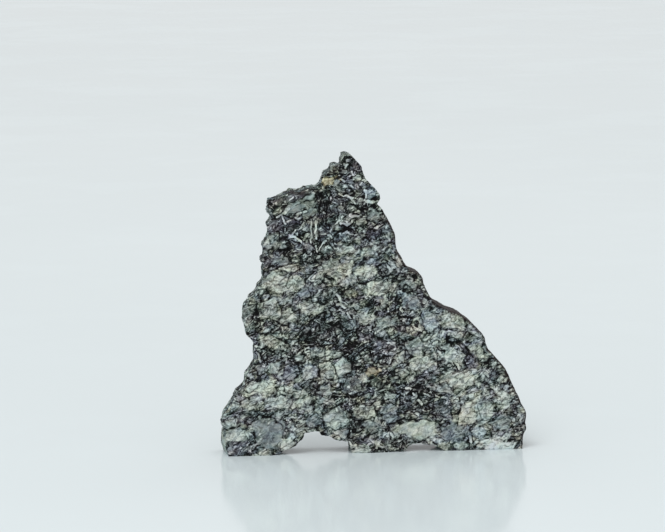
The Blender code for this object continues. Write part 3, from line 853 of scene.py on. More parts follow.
def pit_depth(places, pits):
    """The deepest of the bowls over a place: depth x (1 - (distance / radius)^2)^2."""
    right, down = in_units(places)
    wobble = 1.0 + PIT_WOBBLE[0] * smooth_noise(places / PIT_WOBBLE[1], 61)
    depth = np.zeros(right.shape)
    for x0, y0, radius, deep in pits:
        far = np.hypot(right - x0, down - y0) * wobble / radius
        depth = np.maximum(depth, deep * np.maximum(0.0, 1.0 - far ** 2) ** 2)
    return depth


def chip_depth(places):
    """The chipped corner: as deep as the place is beyond the chip's lower edge, with lumps, and
    quickly back to nothing past its right end."""
    a, b = np.array(on_face(*CHIP_START)), np.array(on_face(*CHIP_END))
    along = (b - a) / np.hypot(*(b - a))
    beyond = -along[1] * (places[..., 0] - a[0]) + along[0] * (places[..., 1] - a[1])
    past = np.maximum(0.0, (places - b) @ along)
    lumps = 1.0 + waves(places, CHIP_LUMPS, 2, 33)
    return np.clip(np.maximum(beyond, 0.0) * lumps - CHIP_END_SLOPE * past, 0.0, CHIP_MOST)


def crystal_relief(places, size, step, tilt, seed):
    """Each cell of cell noise has a random height up to step, a random slope up to tilt, and a
    groove along its border with the profile exp(-(distance / half width)^2)."""
    _, gap, owner, way = crystals(bent(places, seed + 20) / size, seed)
    lean = np.stack([chance(owner, seed + 5), chance(owner, seed + 6)], axis=-1) - 0.5
    groove = np.exp(-(gap * size / GROOVE[0]) ** 2)
    slope = 2.0 * tilt * size * (way * lean).sum(-1)
    return step * chance(owner, seed + 4) + slope + GROOVE[1] * groove


def face_depth(places, paint, pits, chipped, seed):
    """How far the surface lies below the flat of its face, in millimetres: the sum of a slow
    swell, two sizes of crystals, plucked dark matter, fine grain, cracks, minus needles, and
    pits. Cracks and needles fade into the face as exp(-(distance / reach)^2)."""
    near_crack, near_needle = (np.exp(-(np.maximum(paint[name], 0.0) / RIM_REACH) ** 2)
                               for name in ("crack", "needle"))
    depth = SWELL[0] * (1.0 + layered(places / SWELL[1], 3, seed))
    depth = depth + crystal_relief(places, *LARGE_RELIEF, seed + 1)
    depth = depth + crystal_relief(places, *SMALL_RELIEF, seed + 2)
    depth = depth + PLUCKED * eased(paint["paleness"], *PLUCKED_PALENESS)
    depth = depth + waves(places, GRAIN, 2, seed + 3)
    depth = depth + CRACK_DEPTH * near_crack
    depth = depth - NEEDLE_HEIGHT * near_needle
    depth = depth + pit_depth(places, pits)
    if chipped:
        depth = depth + chip_depth(places)
    return np.maximum(depth, 0.0)


print("chip's depth in mm at its corner:", round(float(chip_depth(outline[SIDE])), 2))

# %% [markdown]
# ## The flanks
#
# The flanks are one strip that runs round the whole outline, from the front rim to the back
# rim. On the real stone the left flank and the top are broken, with lumps and hollows as
# large as crystals, and the right flank is the outside of the meteorite: it melted on the way
# down and froze to a thin dark crust with rounded rims. The strip is a profile carried along
# the outline: at each point the profile says how far the flank lies inside the outline.

# %% Depth of the flanks inside the outline
FLANK_STEPS = 24             # steps from the front rim to the last full row
# All that follows is in millimetres, or a share where the words say so
LEAN = 0.05                  # the left flank's front rim stands this much further in
FOOT_LEAN = 0.42             # and the foot of that flank leans more, up to FOOT_TOP
FOOT_TOP = 3.1
FOOT_EASE = 0.6              # the foot's lean fades over this height
FOOT_WIDTH = (1.4, 0.9)      # and is there this near to the left end: from where, wholly where
TAPER = 0.28                 # the left flank falls in by this much towards the back
FACES_LEFT = (0.2, 0.8)      # share by which a flank has to face left to lean
HOLLOW = 0.28                # depth of the broken flanks' hollows
HOLLOW_SIZE = 1.25           # from one hollow to the next
HOLLOW_GAIN = 2.2            # layered noise seldom comes near 1, so it is raised by this
HOLLOW_EDGES = (6.0, 5.0)    # they fade out over a sixth at the front and a fifth at the back
SLIM_FROM = (338, 172)       # above this, in outline units, the tip is slim
SLIM_SPARED = 0.6            # share of the hollows that the slim tip is spared
BACK_WANDER, WANDER_SIZE = 0.08, 2.0        # the back rim's own waves
CRUST_ROUND = 0.40           # radius of the crust's rims
CRUST_IN = 0.10              # how far its rims draw in
ROUND_ELSEWHERE = 0.25       # share of that on the broken sides
CRUST_SWELL, SWELL_SIZE = 0.03, 2.4         # the crust's slow swells
CRUST_BUMPS, BUMP_SIZE = 0.06, 0.8          # and the small bumps on them

ring_count = len(outline)
along_ring = np.hypot(*(np.roll(outline, -1, axis=0) - outline).T)
arc = np.concatenate(([0.0], np.cumsum(along_ring)))[:-1]
outward = outward_of(eased_ring(outline, passes=40))
on_foot, foot_near = feet_of(outline, passes=6)
slim = eased(outline[:, 1] - to_stone(*SLIM_FROM)[1], 0.0, 1.0)
faces_left = eased(-outward[:, 0], *FACES_LEFT) * (1.0 - foot_near)
left_end = outline[:, 0].min()
left_foot = (eased(outline[:, 1], FOOT_TOP, FOOT_TOP - FOOT_EASE)
             * eased(outline[:, 0], left_end + FOOT_WIDTH[0], left_end + FOOT_WIDTH[1]))


def flank_inward(t):
    """Millimetres inside the outline at share t of the way back: a lean that fades to the back,
    hollows that are deepest between the rims, rims rounded as a quarter circle on the crust, and
    the crust's own swells and bumps."""
    y = (2.0 * t - 1.0) * HALF
    places = np.stack([outline[:, 0], np.full(ring_count, y), outline[:, 1]], axis=-1)
    free = (1.0 - crust_ring) * (1.0 - foot_near)
    spared = 1.0 - SLIM_SPARED * slim
    lumps = np.abs(layered(places / HOLLOW_SIZE, 4, seed=81, keep=0.6)) * HOLLOW_GAIN
    window = min(1.0, HOLLOW_EDGES[0] * t) * min(1.0, HOLLOW_EDGES[1] * (1.0 - t)) ** 0.5
    inward = HOLLOW * np.minimum(1.0, lumps) * window * free * spared
    inward = inward + (LEAN * (1.0 - t) + TAPER * t ** 2) * faces_left
    inward = inward + FOOT_LEAN * (1.0 - t) ** 1.5 * left_foot
    wander = 0.5 + 0.5 * layered(np.stack([arc / WANDER_SIZE, 0 * arc], axis=-1), 2, seed=83)
    inward = inward + BACK_WANDER * wander * t ** 2 * free * spared
    over = max(0.0, abs(y) - (HALF - CRUST_ROUND)) / CRUST_ROUND
    rounding = 1.0 - math.sqrt(max(0.0, 1.0 - min(1.0, over) ** 2))
    drawn_in = CRUST_IN * rounding * np.maximum(crust_ring, ROUND_ELSEWHERE)
    inward = inward + drawn_in * (1.0 - foot_near)
    swell = CRUST_SWELL * (1.0 + smooth_noise(places / SWELL_SIZE, seed=85))
    bumps = CRUST_BUMPS * np.abs(layered(places / BUMP_SIZE, 3, seed=87, keep=0.6))
    return inward + (swell + bumps) * crust_ring


def flank_ring(t):
    """The outline moved inwards for the row at share t; feet stay on the sawn plane."""
    return kept_above(outline - outward * flank_inward(t)[:, None], on_foot)


front_ring = flank_ring(0.0)
back_ring = flank_ring(1.0)
front_grid = filled(front_ring, SIDE)
BACK_SIDE = SIDE // 2
back_grid = filled(back_ring[::2], BACK_SIDE)
for name, grid in (("front", front_grid), ("back", back_grid)):
    print(name, "grid:", grid.shape[:2], "cells folded over:", int((cell_areas(grid) <= 0).sum()))

# %% The two wide faces
front_paint = painted(front_grid, 1, True)
front_deep = face_depth(front_grid, front_paint, PITS, True, 3)
back_paint = painted(back_grid, 301, False)
back_deep = face_depth(back_grid, back_paint, BACK_PITS, False, 303)
front_sheet = np.stack([front_grid[..., 0], front_deep - HALF, front_grid[..., 1]], axis=-1)
back_sheet = np.stack([back_grid[..., 0], HALF - back_deep, back_grid[..., 1]], axis=-1)
print("front relief in mm: mean", round(float(front_deep.mean()), 3),
      "deepest", round(float(front_deep.max()), 3))

# %% The strip between them
def ring_of(sheet):
    """The border of a square sheet, in the outline's order: up the left side, along the top, down
    the right side and back along the lower edge."""
    n = len(sheet) - 1
    return np.concatenate([sheet[:n, 0], sheet[n, :n], sheet[n:0:-1, n], sheet[0, n:0:-1]])


front_rim = ring_of(front_sheet)
back_rim = ring_of(back_sheet)
back_y = np.interp(np.arange(ring_count), np.arange(0, ring_count + 1, 2),
                   np.append(back_rim[:, 1], back_rim[0, 1]))
flank_rows = []
for step in range(1, FLANK_STEPS + 1):
    t = step / (FLANK_STEPS + 1)
    flat = flank_ring(t)
    y = (1.0 - t) * front_rim[:, 1] + t * back_y
    flank_rows.append(np.stack([flat[:, 0], y, flat[:, 1]], axis=-1))
flank_sheet = np.array(flank_rows)
thickness = back_sheet[..., 1].max() - front_sheet[..., 1].min()
print("flank strip:", flank_sheet.shape[:2], "thickness in mm:", round(float(thickness), 2))

# %% [markdown]
# ## Paint of the flanks and the crust
#
# The broken flanks show the same mosaic, but darker and more teal, because they are rough and
# were never polished. Only the left foot's flank is smooth and pale where it shows. The crust
# is nearly black with a reddish-brown cast, and it laps two tenths of a millimetre over the
# rim onto the wide faces, so that it is seen edge on as a thin dark line.

# %% Attributes for the strip, and the crust's lap on the faces
CRUST_LAP = 0.20             # millimetres
LAP_WHOLE = 0.45             # share of the lap that is wholly crust
LAP_WAVES = (0.6, 0.7)       # share of the lap, and size in millimetres
FLANK_SHADE = (0.80, -0.01)  # paleness on a flank: this share of a face's, and this added
FLANK_DRIFT = (0.10, 0.8)    # strength, and size in millimetres
FLANK_TINT = np.array([0.90, 1.01, 1.02])
SMOOTH_UP = (0.8, 0.55)      # upper edge of the foot's smooth part, as shares of FOOT_TOP
SMOOTH_BACK = (0.45, 0.75)   # and its edge behind, as shares of the way back
SMOOTH_WAVES_UP, SMOOTH_WAVES_BACK = 1.2, 0.45      # how far both edges wander
SMOOTH_WAVE_SIZE = 0.7
SMOOTH_PALENESS, SMOOTH_SHARE = 0.52, 0.85          # the paleness there, and how fully it is met
SMOOTH_CALM = 0.55           # share of the mottling that is gone there
SMOOTH_BORDER = 2.0          # there, borders are this much further off, in outline units


def flank_paint(sheet):
    """The mosaic on the unrolled strip, whose places are the length round the outline and y. On
    the smooth part of the left foot its paleness is drawn to one value and it is less mottled."""
    unrolled = np.stack([np.broadcast_to(arc, sheet.shape[:2]), sheet[..., 1]], axis=-1)
    kind, border, _ = two_mosaics(unrolled, 501)
    wander = layered(unrolled / SMOOTH_WAVE_SIZE, 3, 507)
    back = np.linspace(0.0, 1.0, len(sheet))[:, None] + SMOOTH_WAVES_BACK * wander
    height = outline[:, 1][None] + SMOOTH_WAVES_UP * wander
    low = eased(height, SMOOTH_UP[0] * FOOT_TOP, SMOOTH_UP[1] * FOOT_TOP)
    smooth = (left_foot > 0) * low * (1.0 - eased(back, *SMOOTH_BACK))
    pale = FLANK_SHADE[0] * paleness[kind] + FLANK_SHADE[1]
    pale = pale + waves(unrolled, FLANK_DRIFT, 3, 505)
    pale = pale + (SMOOTH_PALENESS - pale) * SMOOTH_SHARE * smooth
    far = np.full(pale.shape, FAR)
    return {"paleness": pale, "mottling": mottling[kind] * (1.0 - SMOOTH_CALM * smooth),
            "tint": tints[kind] * FLANK_TINT, "border": border / UNIT + SMOOTH_BORDER * smooth,
            "needle": far, "crack": far, "own": smooth}


def gap_to_ring(places, ring, at_once=64):
    """Distance from each place to the nearest of a ring's points, some points at a time, because
    all of them at once would need too much memory."""
    flat = places.reshape(-1, 2)
    best = np.full(len(flat), np.inf)
    for start in range(0, len(ring), at_once):
        part = ring[start:start + at_once]
        best = np.minimum(best, ((flat[:, None] - part[None]) ** 2).sum(-1).min(axis=1))
    return np.sqrt(best).reshape(places.shape[:-1])


def crust_on_face(grid, ring):
    """1 at the crusted rim, fading to 0 over the lap, with a wavy edge."""
    edge = CRUST_LAP * (1.0 + waves(grid, LAP_WAVES, 2, 95))
    return 1.0 - eased(gap_to_ring(grid, ring), LAP_WHOLE * edge, edge)


# Every other point of the crusted rim is near enough to measure from
strip_paint = flank_paint(flank_sheet)
front_crust, back_crust = (crust_on_face(grid, ring[crust_ring > 0.5][::2])
                           for grid, ring in ((front_grid, front_ring), (back_grid, back_ring)))
strip_crust = np.broadcast_to(crust_ring, flank_sheet.shape[:2])
print("crusted share of the rim:", round(float(crust_ring.mean()), 2))

# %% [markdown]
# ## One closed mesh
#
# The two sheets and the strip share their border points, so the stone is one closed skin. The
# back sheet has half as many points along each side, because it has no listed pattern, so
# the last row of the strip joins two of its own steps to one step of the back.

# %% Faces from the grids
def sheet_quads(n, start, flip):
    """All quads of a sheet with n steps a side, numbered row by row from start."""
    i, j = np.meshgrid(np.arange(n), np.arange(n), indexing="ij")
    a = (start + i * (n + 1) + j).ravel()
    quads = np.stack([a, a + 1, a + n + 2, a + n + 1], axis=1)
    return quads[:, ::-1] if flip else quads


def ring_numbers(n, start):
    """Point numbers along a sheet's border, in the order of ring_of."""
    return ring_of(start + np.arange((n + 1) ** 2).reshape(n + 1, n + 1))


strip_start = (SIDE + 1) ** 2
back_start = strip_start + FLANK_STEPS * ring_count
strip_numbers = strip_start + np.arange(FLANK_STEPS * ring_count).reshape(FLANK_STEPS, ring_count)
rows = np.concatenate([ring_numbers(SIDE, 0)[None], strip_numbers])
ahead = np.roll(rows, -1, axis=1)
strip_quads = np.stack([rows[:-1], ahead[:-1], ahead[1:], rows[1:]], axis=-1).reshape(-1, 4)
last = rows[-1]
middle, after = last[1::2], np.roll(last, -2)[::2]
back_border = ring_numbers(BACK_SIDE, back_start)
back_after = np.roll(back_border, -1)
joints = np.concatenate([np.stack([last[::2], middle, back_border], axis=1),
                         np.stack([middle, after, back_after], axis=1),
                         np.stack([middle, back_after, back_border], axis=1)])
quads = np.concatenate([sheet_quads(SIDE, 0, False), strip_quads,
                        sheet_quads(BACK_SIDE, back_start, True)])
points = np.concatenate([sheet.reshape(-1, 3)
                         for sheet in (front_sheet, flank_sheet, back_sheet)]) * MM
print("points:", len(points), "triangles:", 2 * len(quads) + len(joints))

# %% The mesh and its attributes
def skin(name, places, four, three):
    """A mesh object from arrays: corners of the quads and then of the triangles, in one run."""
    mesh = bpy.data.meshes.new(name)
    corners = np.concatenate([four.ravel(), three.ravel()]).astype(np.int32)
    sizes = np.concatenate([np.full(len(four), 4), np.full(len(three), 3)])
    starts = np.concatenate(([0], np.cumsum(sizes)[:-1])).astype(np.int32)
    mesh.vertices.add(len(places))
    mesh.vertices.foreach_set("co", places.astype(np.float32).ravel())
    mesh.loops.add(len(corners))
    mesh.loops.foreach_set("vertex_index", corners)
    mesh.polygons.add(len(sizes))
    mesh.polygons.foreach_set("loop_start", starts)
    mesh.update(calc_edges=True)
    mesh.validate()
    mesh.shade_smooth()
    made = bpy.data.objects.new(name, mesh)
    bpy.context.scene.collection.objects.link(made)
    return made


def add_numbers(mesh, name, values):
    """One number for each point, which the material reads by name."""
    layer = mesh.attributes.new(name, "FLOAT", "POINT")
    layer.data.foreach_set("value", values.astype(np.float32).ravel())


def add_colour(mesh, name, values):
    """One colour for each point."""
    layer = mesh.attributes.new(name, "FLOAT_COLOR", "POINT")
    four = np.concatenate([values, np.ones((len(values), 1))], axis=1)
    layer.data.foreach_set("color", four.astype(np.float32).ravel())


stone = skin("meteorite_slice", points, quads, joints)
paints = (front_paint, strip_paint, back_paint)
for name in ("paleness", "mottling", "border", "needle", "crack", "own"):
    add_numbers(stone.data, name, np.concatenate([paint[name].ravel() for paint in paints]))
add_colour(stone.data, "tint", np.concatenate([paint["tint"].reshape(-1, 3) for paint in paints]))
add_numbers(stone.data, "crust", np.concatenate([share.ravel() for share in
                                                 (front_crust, strip_crust, back_crust)]))
print("stone box in mm:", (points.min(axis=0) / MM).round(2), (points.max(axis=0) / MM).round(2))

# %% [markdown]
# ## The material
#
# The attributes say how pale each place is, how mottled, and which way its colour leans. The
# material adds what is finer than the mesh: small grains with dark outlines, thin pale and
# dark curls, grit and glints, and crisp edges for the needles and cracks, which are drawn
# where a distance passes zero. The glints, the needles' white and part of the pale curls are
# painted glints of light off feldspar. The sum is a tone as the eye sees it, and its power of
# 2.2 is the share of light that the place gives back. The tint leans the colour, and slow drifts
# from cool to warm and from green to purple lean it further, most of all in the dark parts.
# The crust is a second colour over the first, with blisters, fine crazing and small chips.

# %% Small helpers for node graphs
class Graph:
    """Adds nodes to a material's tree and joins them. An input may be a socket or a number."""

    def __init__(self, tree):
        self.tree = tree

    def plug(self, socket, value):
        """Joins an output to a socket, or sets the socket's own number."""
        if isinstance(value, bpy.types.NodeSocket):
            self.tree.links.new(value, socket)
        else:
            socket.default_value = value

    def node(self, kind, settings=None, **inputs):
        """A new node with its settings made and then the inputs that are named filled in."""
        made = self.tree.nodes.new("ShaderNode" + kind)
        for name, value in (settings or {}).items():
            setattr(made, name, value)
        for name, value in inputs.items():
            self.plug(made.inputs[name.replace("_", " ")], value)
        return made

    def maths(self, operation, *values):
        """One sum on up to three numbers."""
        made = self.node("Math", {"operation": operation})
        for socket, value in zip(made.inputs, values):
            self.plug(socket, value)
        return made.outputs[0]

    def times(self, a, b):
        """a x b."""
        return self.maths("MULTIPLY", a, b)

    def less(self, a, b):
        """a - b."""
        return self.maths("SUBTRACT", a, b)

    def added(self, total, amount, strength):
        """total + amount x strength."""
        return self.maths("MULTIPLY_ADD", amount, strength, total)

    def centred(self, value):
        """The value minus one half, so that noise from 0 to 1 lies evenly about zero."""
        return self.less(value, 0.5)

    def place(self):
        """The place on the piece, in the object's own coordinates."""
        return self.node("TexCoord").outputs["Object"]

    def attribute(self, name, output="Fac"):
        """A point attribute of the mesh, as a number or, with the output Color, as a colour."""
        return self.node("Attribute", {"attribute_name": name}).outputs[output]

    def noise(self, where, scale, detail, roughness=0.5, distortion=0.0, output="Fac"):
        """Smooth noise from 0 to 1 that mostly keeps near one half, with scale bumps to the unit
        and finer layers as detail rises."""
        return self.node("TexNoise", Vector=where, Scale=scale, Detail=detail,
                         Roughness=roughness, Distortion=distortion).outputs[output]

    def vector(self, operation, a, b):
        """One sum on places: b is a place too, or a number for SCALE."""
        made = self.node("VectorMath", {"operation": operation})
        self.plug(made.inputs[0], a)
        self.plug(made.inputs["Scale" if operation == "SCALE" else 1], b)
        return made.outputs[0]

    def bent(self, where, scale, reach):
        """Places shifted by noise, up to about a third of reach each way."""
        shift = self.noise(where, scale, 1.0, output="Color")
        centred = self.vector("SUBTRACT", shift, (0.5, 0.5, 0.5))
        return self.vector("ADD", where, self.vector("SCALE", centred, reach))

    def stretched(self, where, tilt, scale):
        """Places turned about Y by the tilt and then divided by the scale along each axis."""
        return self.node("Mapping", {"vector_type": "TEXTURE"}, Vector=where, Scale=scale,
                         Rotation=(0.0, math.radians(tilt), 0.0)).outputs["Vector"]

    def cells(self, where, scale):
        """Cell noise: the cell's own random number from 0 to 1, and the distance to its
        border in the places' own unit."""
        found = []
        for feature, output in (("F1", "Color"), ("DISTANCE_TO_EDGE", "Distance")):
            made = self.node("TexVoronoi", {"feature": feature}, Vector=where, Scale=scale)
            found.append(made.outputs[output])
        apart = self.node("SeparateColor", Color=found[0])
        return apart.outputs[0], self.maths("DIVIDE", found[1], scale)

    def between(self, value, low, high, out_low=0.0, out_high=1.0):
        """Eases from out_low to out_high as value goes from low to high."""
        made = self.node("MapRange", {"interpolation_type": "SMOOTHSTEP"}, Value=value,
                         From_Min=low, From_Max=high, To_Min=out_low, To_Max=out_high)
        return made.outputs["Result"]

    def mixed(self, share, a, b, kind="MIX"):
        """Colour a, with colour b mixed in, or multiplied on, by the share."""
        return self.node("Mix", {"data_type": "RGBA", "blend_type": kind},
                         Factor=share, A=a, B=b).outputs["Result"]


def new_material(name):
    """A material with its Principled shader and a Graph on its tree."""
    made = bpy.data.materials.new(name)
    made.use_nodes = True
    return made, made.node_tree.nodes["Principled BSDF"], Graph(made.node_tree)


print("shortcuts for nodes:", [name for name in vars(Graph) if not name.startswith("_")])

# %% Shergottite: what its numbers are
# Places are in millimetres, so a scale is how many bumps or cells there are to one of them. A
# pair of numbers says where something begins and where it is whole, unless the words differ.
NOISE_SPAN = (0.30, 0.70)           # noise seldom leaves this
LEVEL_SPAN, HUE_SPAN = (0.35, 0.65), (0.36, 0.64)
FABRIC_TILT, FABRIC_STRETCH = -22.0, (1.30, 1.0, 0.80)      # the grains lie a little aslant
WIDE_WARP, FINE_WARP = (0.80, 1.10), (2.6, 0.42)    # bends of all borders: scale, millimetres
ELSEWHERE = (17.3, 5.1, 9.7)        # a shift this far away gives a noise of its own
DARK_MATTER = (0.44, 0.34)          # paleness below which a place is dark: from where, wholly
OWN_CALM = -0.36                    # change of all patterns in a listed crystal

# Grains: cells to the millimetre, their outlines' edges in millimetres, and strengths
LARGE_GRAINS, LARGE_OUTLINE, LARGE_DARK, LARGE_TONES = 0.90, (0.085, 0.035), 0.20, 0.11
SMALL_GRAINS, SMALL_OUTLINE, SMALL_DARK, SMALL_TONES = 2.10, (0.070, 0.025), 0.16, 0.10
CLOUDS, GRIT = 0.20, 0.36           # strengths of soft clouds and of fine grit

# Curls: contour lines of noise, which lie where the sine of its turns passes these levels; the
# pale ones are partly pale feldspar and partly a painted glint of light
TURNS, FINE_TURNS = 5.2, 1.9        # of slow and of finer noise
DARK_LEVEL, PALE_LEVEL = (-0.50, -0.90), (0.62, 0.95)
DARK_CURLS, PALE_CURLS_AND_GLINTS = (-0.26, -0.34), (0.14, 0.30)       # strength in pale and dark parts
SHARE_EDGES, LEAST_SHARE = (0.42, 0.58), 0.25       # where each of the two sets is strong

# Lines: edges as distances in outline units, and the change of tone that they make
BORDER_EDGES, BORDER_DARK, HAND_BORDER_DARK = (1.05, 0.45), -0.21, -0.27
BORDER_BREAKS = (0.38, 0.51)        # a noise that breaks the borders up
CRACK_EDGES, CRACK_DARK = (0.6, -0.4), -0.30
# The needles are drawn pale towards these levels: a painted glint of light off the feldspar laths
NEEDLE_SHAKE, NEEDLE_EDGES, NEEDLE_GLINT_LEVELS = 2.2, (0.25, -0.30), (0.64, 0.90)
NEEDLE_RIM, NEEDLE_RIM_EDGES, NEEDLE_RIM_DARK = 0.8, (0.6, 0.0), -0.22      # dark beside it

# Glints: cells to the millimetre, which of them shine, edges in millimetres, change of tone
GLINTS, GLINT_CHOSEN, GLINT_EDGES, GLINT_LIGHT = 2.9, (0.74, 0.80), (0.02, 0.07), 0.34
CONTRAST, LIFT = 1.18, 0.080
DARKEST, PALEST = 0.045, 0.86

# Leans of the colour, each a share of red, green and blue
COLD, WARM = (0.930, 0.995, 1.075, 1.0), (1.070, 1.005, 0.920, 1.0)
GREEN, PURPLE = (0.980, 1.010, 0.985, 1.0), (1.020, 0.988, 1.018, 1.0)
DARK_GREEN, DARK_PURPLE = (0.860, 1.055, 0.940, 1.0), (1.110, 0.935, 1.085, 1.0)
PALE_PULL = (0.30, 0.85, 0.0, 0.50) # between these tones the pale tint's share rises so
DARK_HUES = (0.50, 0.20)            # tones between which the dark hues take over

# The crust: shares of light, and what breaks it up
CRUST_COLOUR = (0.007, 0.0040, 0.0040, 1.0)
CRUST_PALE = (0.036, 0.021, 0.018, 1.0)
CRUST_CRACK = (0.004, 0.003, 0.003, 1.0)
CRAZING_WARP, CRAZING_CELLS = (1.6, 0.7), 0.95
CRAZING_EDGES, CRAZING_SHARE = (0.040, 0.012), 0.8
BLISTER_EDGES, CHIP_EDGES = (0.40, 0.68), (0.645, 0.665)
BLISTER_HEIGHT, CRAZING_HEIGHT = 1.6, -0.5

ROUGHNESS, SHINE = (0.42, 0.68), 0.12
BUMP_STRENGTH, BUMP_DEPTH = 0.8, 0.08 * MM
print("tones run from", DARKEST, "to", PALEST, "as the eye sees them")

# %% Shergottite: the material
def grain_tones(g, crooked, in_dark):
    """Each grain's own tone, (its number - 1/2) x strength, for large and small grains, minus
    their dark outlines. The small ones are outlined in dark parts only."""
    large_cell, large_gap = g.cells(crooked, LARGE_GRAINS)
    small_cell, small_gap = g.cells(crooked, SMALL_GRAINS)
    outlines = g.times(g.between(large_gap, *LARGE_OUTLINE), LARGE_DARK)
    small = g.times(g.between(small_gap, *SMALL_OUTLINE), in_dark)
    outlines = g.added(outlines, small, SMALL_DARK)
    tones = g.times(g.centred(large_cell), LARGE_TONES)
    tones = g.added(tones, g.centred(small_cell), SMALL_TONES)
    return g.less(tones, outlines)


def with_curls(g, spread, crooked, where, calm, in_dark):
    """Adds two sets of thin dark and pale curls, each strongest where the other is weak. The pale
    ones are partly pale feldspar and partly a painted glint of light. They are contour lines of
    smooth noise, and lie where sin(2 pi x turns x noise) nears -1 or 1."""
    share = g.between(g.noise(where, scale=0.8, detail=1.0), *SHARE_EDGES)
    dark, pale = (g.between(in_dark, 0.0, 1.0, *curls) for curls in (DARK_CURLS, PALE_CURLS_AND_GLINTS))
    elsewhere = g.vector("ADD", crooked, ELSEWHERE)
    for place, here in ((crooked, share), (elsewhere, g.less(1.0, share))):
        turns = g.times(g.noise(place, scale=0.75, detail=0.0), TURNS)
        turns = g.added(turns, g.noise(place, scale=2.5, detail=1.0), FINE_TURNS)
        wave = g.maths("SINE", g.times(turns, math.tau))
        here = g.times(g.added(LEAST_SHARE, here, 1.0 - LEAST_SHARE), calm)
        spread = g.added(spread, g.times(g.between(wave, *DARK_LEVEL), here), dark)
        # Pale curls: partly pale feldspar, partly a painted glint of light
        spread = g.added(spread, g.times(g.between(wave, *PALE_LEVEL), here), pale)
    return spread


def tone_of(g, where, crooked):
    """The tone as the eye sees it: paleness + mottling x spread, then borders, glints and cracks,
    then contrast, and the needles last, pale as a painted glint of light off the feldspar, because
    they lie over everything."""
    in_dark = g.between(g.attribute("paleness"), *DARK_MATTER)
    own = g.attribute("own")
    calm = g.added(1.0, own, OWN_CALM)
    spread = g.times(grain_tones(g, crooked, in_dark), calm)
    spread = g.added(spread, g.centred(g.noise(crooked, scale=1.4, detail=1.0)), CLOUDS)
    grit = g.noise(where, scale=6.5, detail=2.0, roughness=0.6, distortion=0.5)
    spread = g.added(spread, g.centred(grit), GRIT)
    spread = with_curls(g, spread, crooked, where, calm, in_dark)
    value = g.added(g.attribute("paleness"), spread, g.attribute("mottling"))

    border = g.times(g.between(g.attribute("border"), *BORDER_EDGES),
                     g.between(g.noise(where, scale=1.7, detail=1.0), *BORDER_BREAKS))
    value = g.added(value, border, g.between(own, 0.0, 0.5, BORDER_DARK, HAND_BORDER_DARK))
    fleck, fleck_gap = g.cells(crooked, GLINTS)
    glint = g.times(g.between(fleck, *GLINT_CHOSEN), g.between(fleck_gap, *GLINT_EDGES))
    value = g.added(value, g.times(glint, in_dark), GLINT_LIGHT)
    value = g.added(value, g.between(g.attribute("crack"), *CRACK_EDGES), CRACK_DARK)
    value = g.added(LIFT, value, CONTRAST)

    shake = g.centred(g.noise(where, scale=4.0, detail=2.0))
    shaky = g.added(g.attribute("needle"), shake, NEEDLE_SHAKE)
    rim = g.between(g.maths("ABSOLUTE", g.less(shaky, NEEDLE_RIM)), *NEEDLE_RIM_EDGES)
    value = g.added(value, rim, NEEDLE_RIM_DARK)
    # The needles' pale level: a painted glint of light off the feldspar laths
    level = g.between(g.noise(where, scale=2.0, detail=1.0), *LEVEL_SPAN, *NEEDLE_GLINT_LEVELS)
    value = g.added(value, g.less(level, value), g.between(shaky, *NEEDLE_EDGES))
    return g.maths("MINIMUM", g.maths("MAXIMUM", value, DARKEST), PALEST)


def rock_colour(g, value, wavy, crooked):
    """tone ^ 2.2 as a grey, times the tint, times a drift from cool to warm and one from green
    to purple."""
    light = g.maths("POWER", value, GAMMA)
    grey = g.node("CombineColor", Red=light, Green=light, Blue=light).outputs[0]
    warmth = g.between(g.noise(crooked, scale=1.3, detail=2.0), *NOISE_SPAN)
    drift = g.mixed(warmth, COLD, WARM)
    lean = g.mixed(1.0, g.attribute("tint", "Color"), drift, "MULTIPLY")
    lean = g.mixed(g.between(value, *PALE_PULL), lean, (*PALE_TINT ** GAMMA, 1.0))
    purple = g.between(g.noise(wavy, scale=0.85, detail=2.0), *HUE_SPAN)
    hue = g.mixed(g.between(value, *DARK_HUES), g.mixed(purple, GREEN, PURPLE),
                  g.mixed(purple, DARK_GREEN, DARK_PURPLE))
    lean = g.mixed(1.0, lean, hue, "MULTIPLY")
    return g.mixed(1.0, grey, lean, "MULTIPLY")


def shergottite():
    """The whole material: rock, with crust over it where the crust attribute says so."""
    made, shader, g = new_material("shergottite")
    where = g.vector("SCALE", g.place(), 1.0 / MM)
    wavy = g.bent(g.stretched(where, FABRIC_TILT, FABRIC_STRETCH), *WIDE_WARP)
    crooked = g.bent(wavy, *FINE_WARP)
    value = tone_of(g, where, crooked)

    _, crust_gap = g.cells(g.bent(where, *CRAZING_WARP), CRAZING_CELLS)
    crazing = g.between(crust_gap, *CRAZING_EDGES)
    blisters = g.noise(where, scale=2.4, detail=3.0, roughness=0.62)
    crusty = g.mixed(g.between(blisters, *BLISTER_EDGES), CRUST_COLOUR, CRUST_PALE)
    crusty = g.mixed(g.times(crazing, CRAZING_SHARE), crusty, CRUST_CRACK)
    chips = g.between(g.noise(where, scale=1.7, detail=4.0, roughness=0.65), *CHIP_EDGES)
    crust = g.times(g.attribute("crust"), g.less(1.0, chips))
    rock = rock_colour(g, value, wavy, crooked)
    g.plug(shader.inputs["Base Color"], g.mixed(crust, rock, crusty))
    worn = g.between(g.noise(where, scale=3.5, detail=2.0), *NOISE_SPAN, *ROUGHNESS)
    g.plug(shader.inputs["Roughness"], worn)
    shader.inputs["Specular IOR Level"].default_value = SHINE

    molten = g.added(g.times(blisters, BLISTER_HEIGHT), crazing, CRAZING_HEIGHT)
    height = g.maths("ADD", value, g.times(g.less(molten, value), crust))
    bump = g.node("Bump", Strength=BUMP_STRENGTH, Distance=BUMP_DEPTH, Height=height)
    g.plug(shader.inputs["Normal"], bump.outputs["Normal"])
    return made


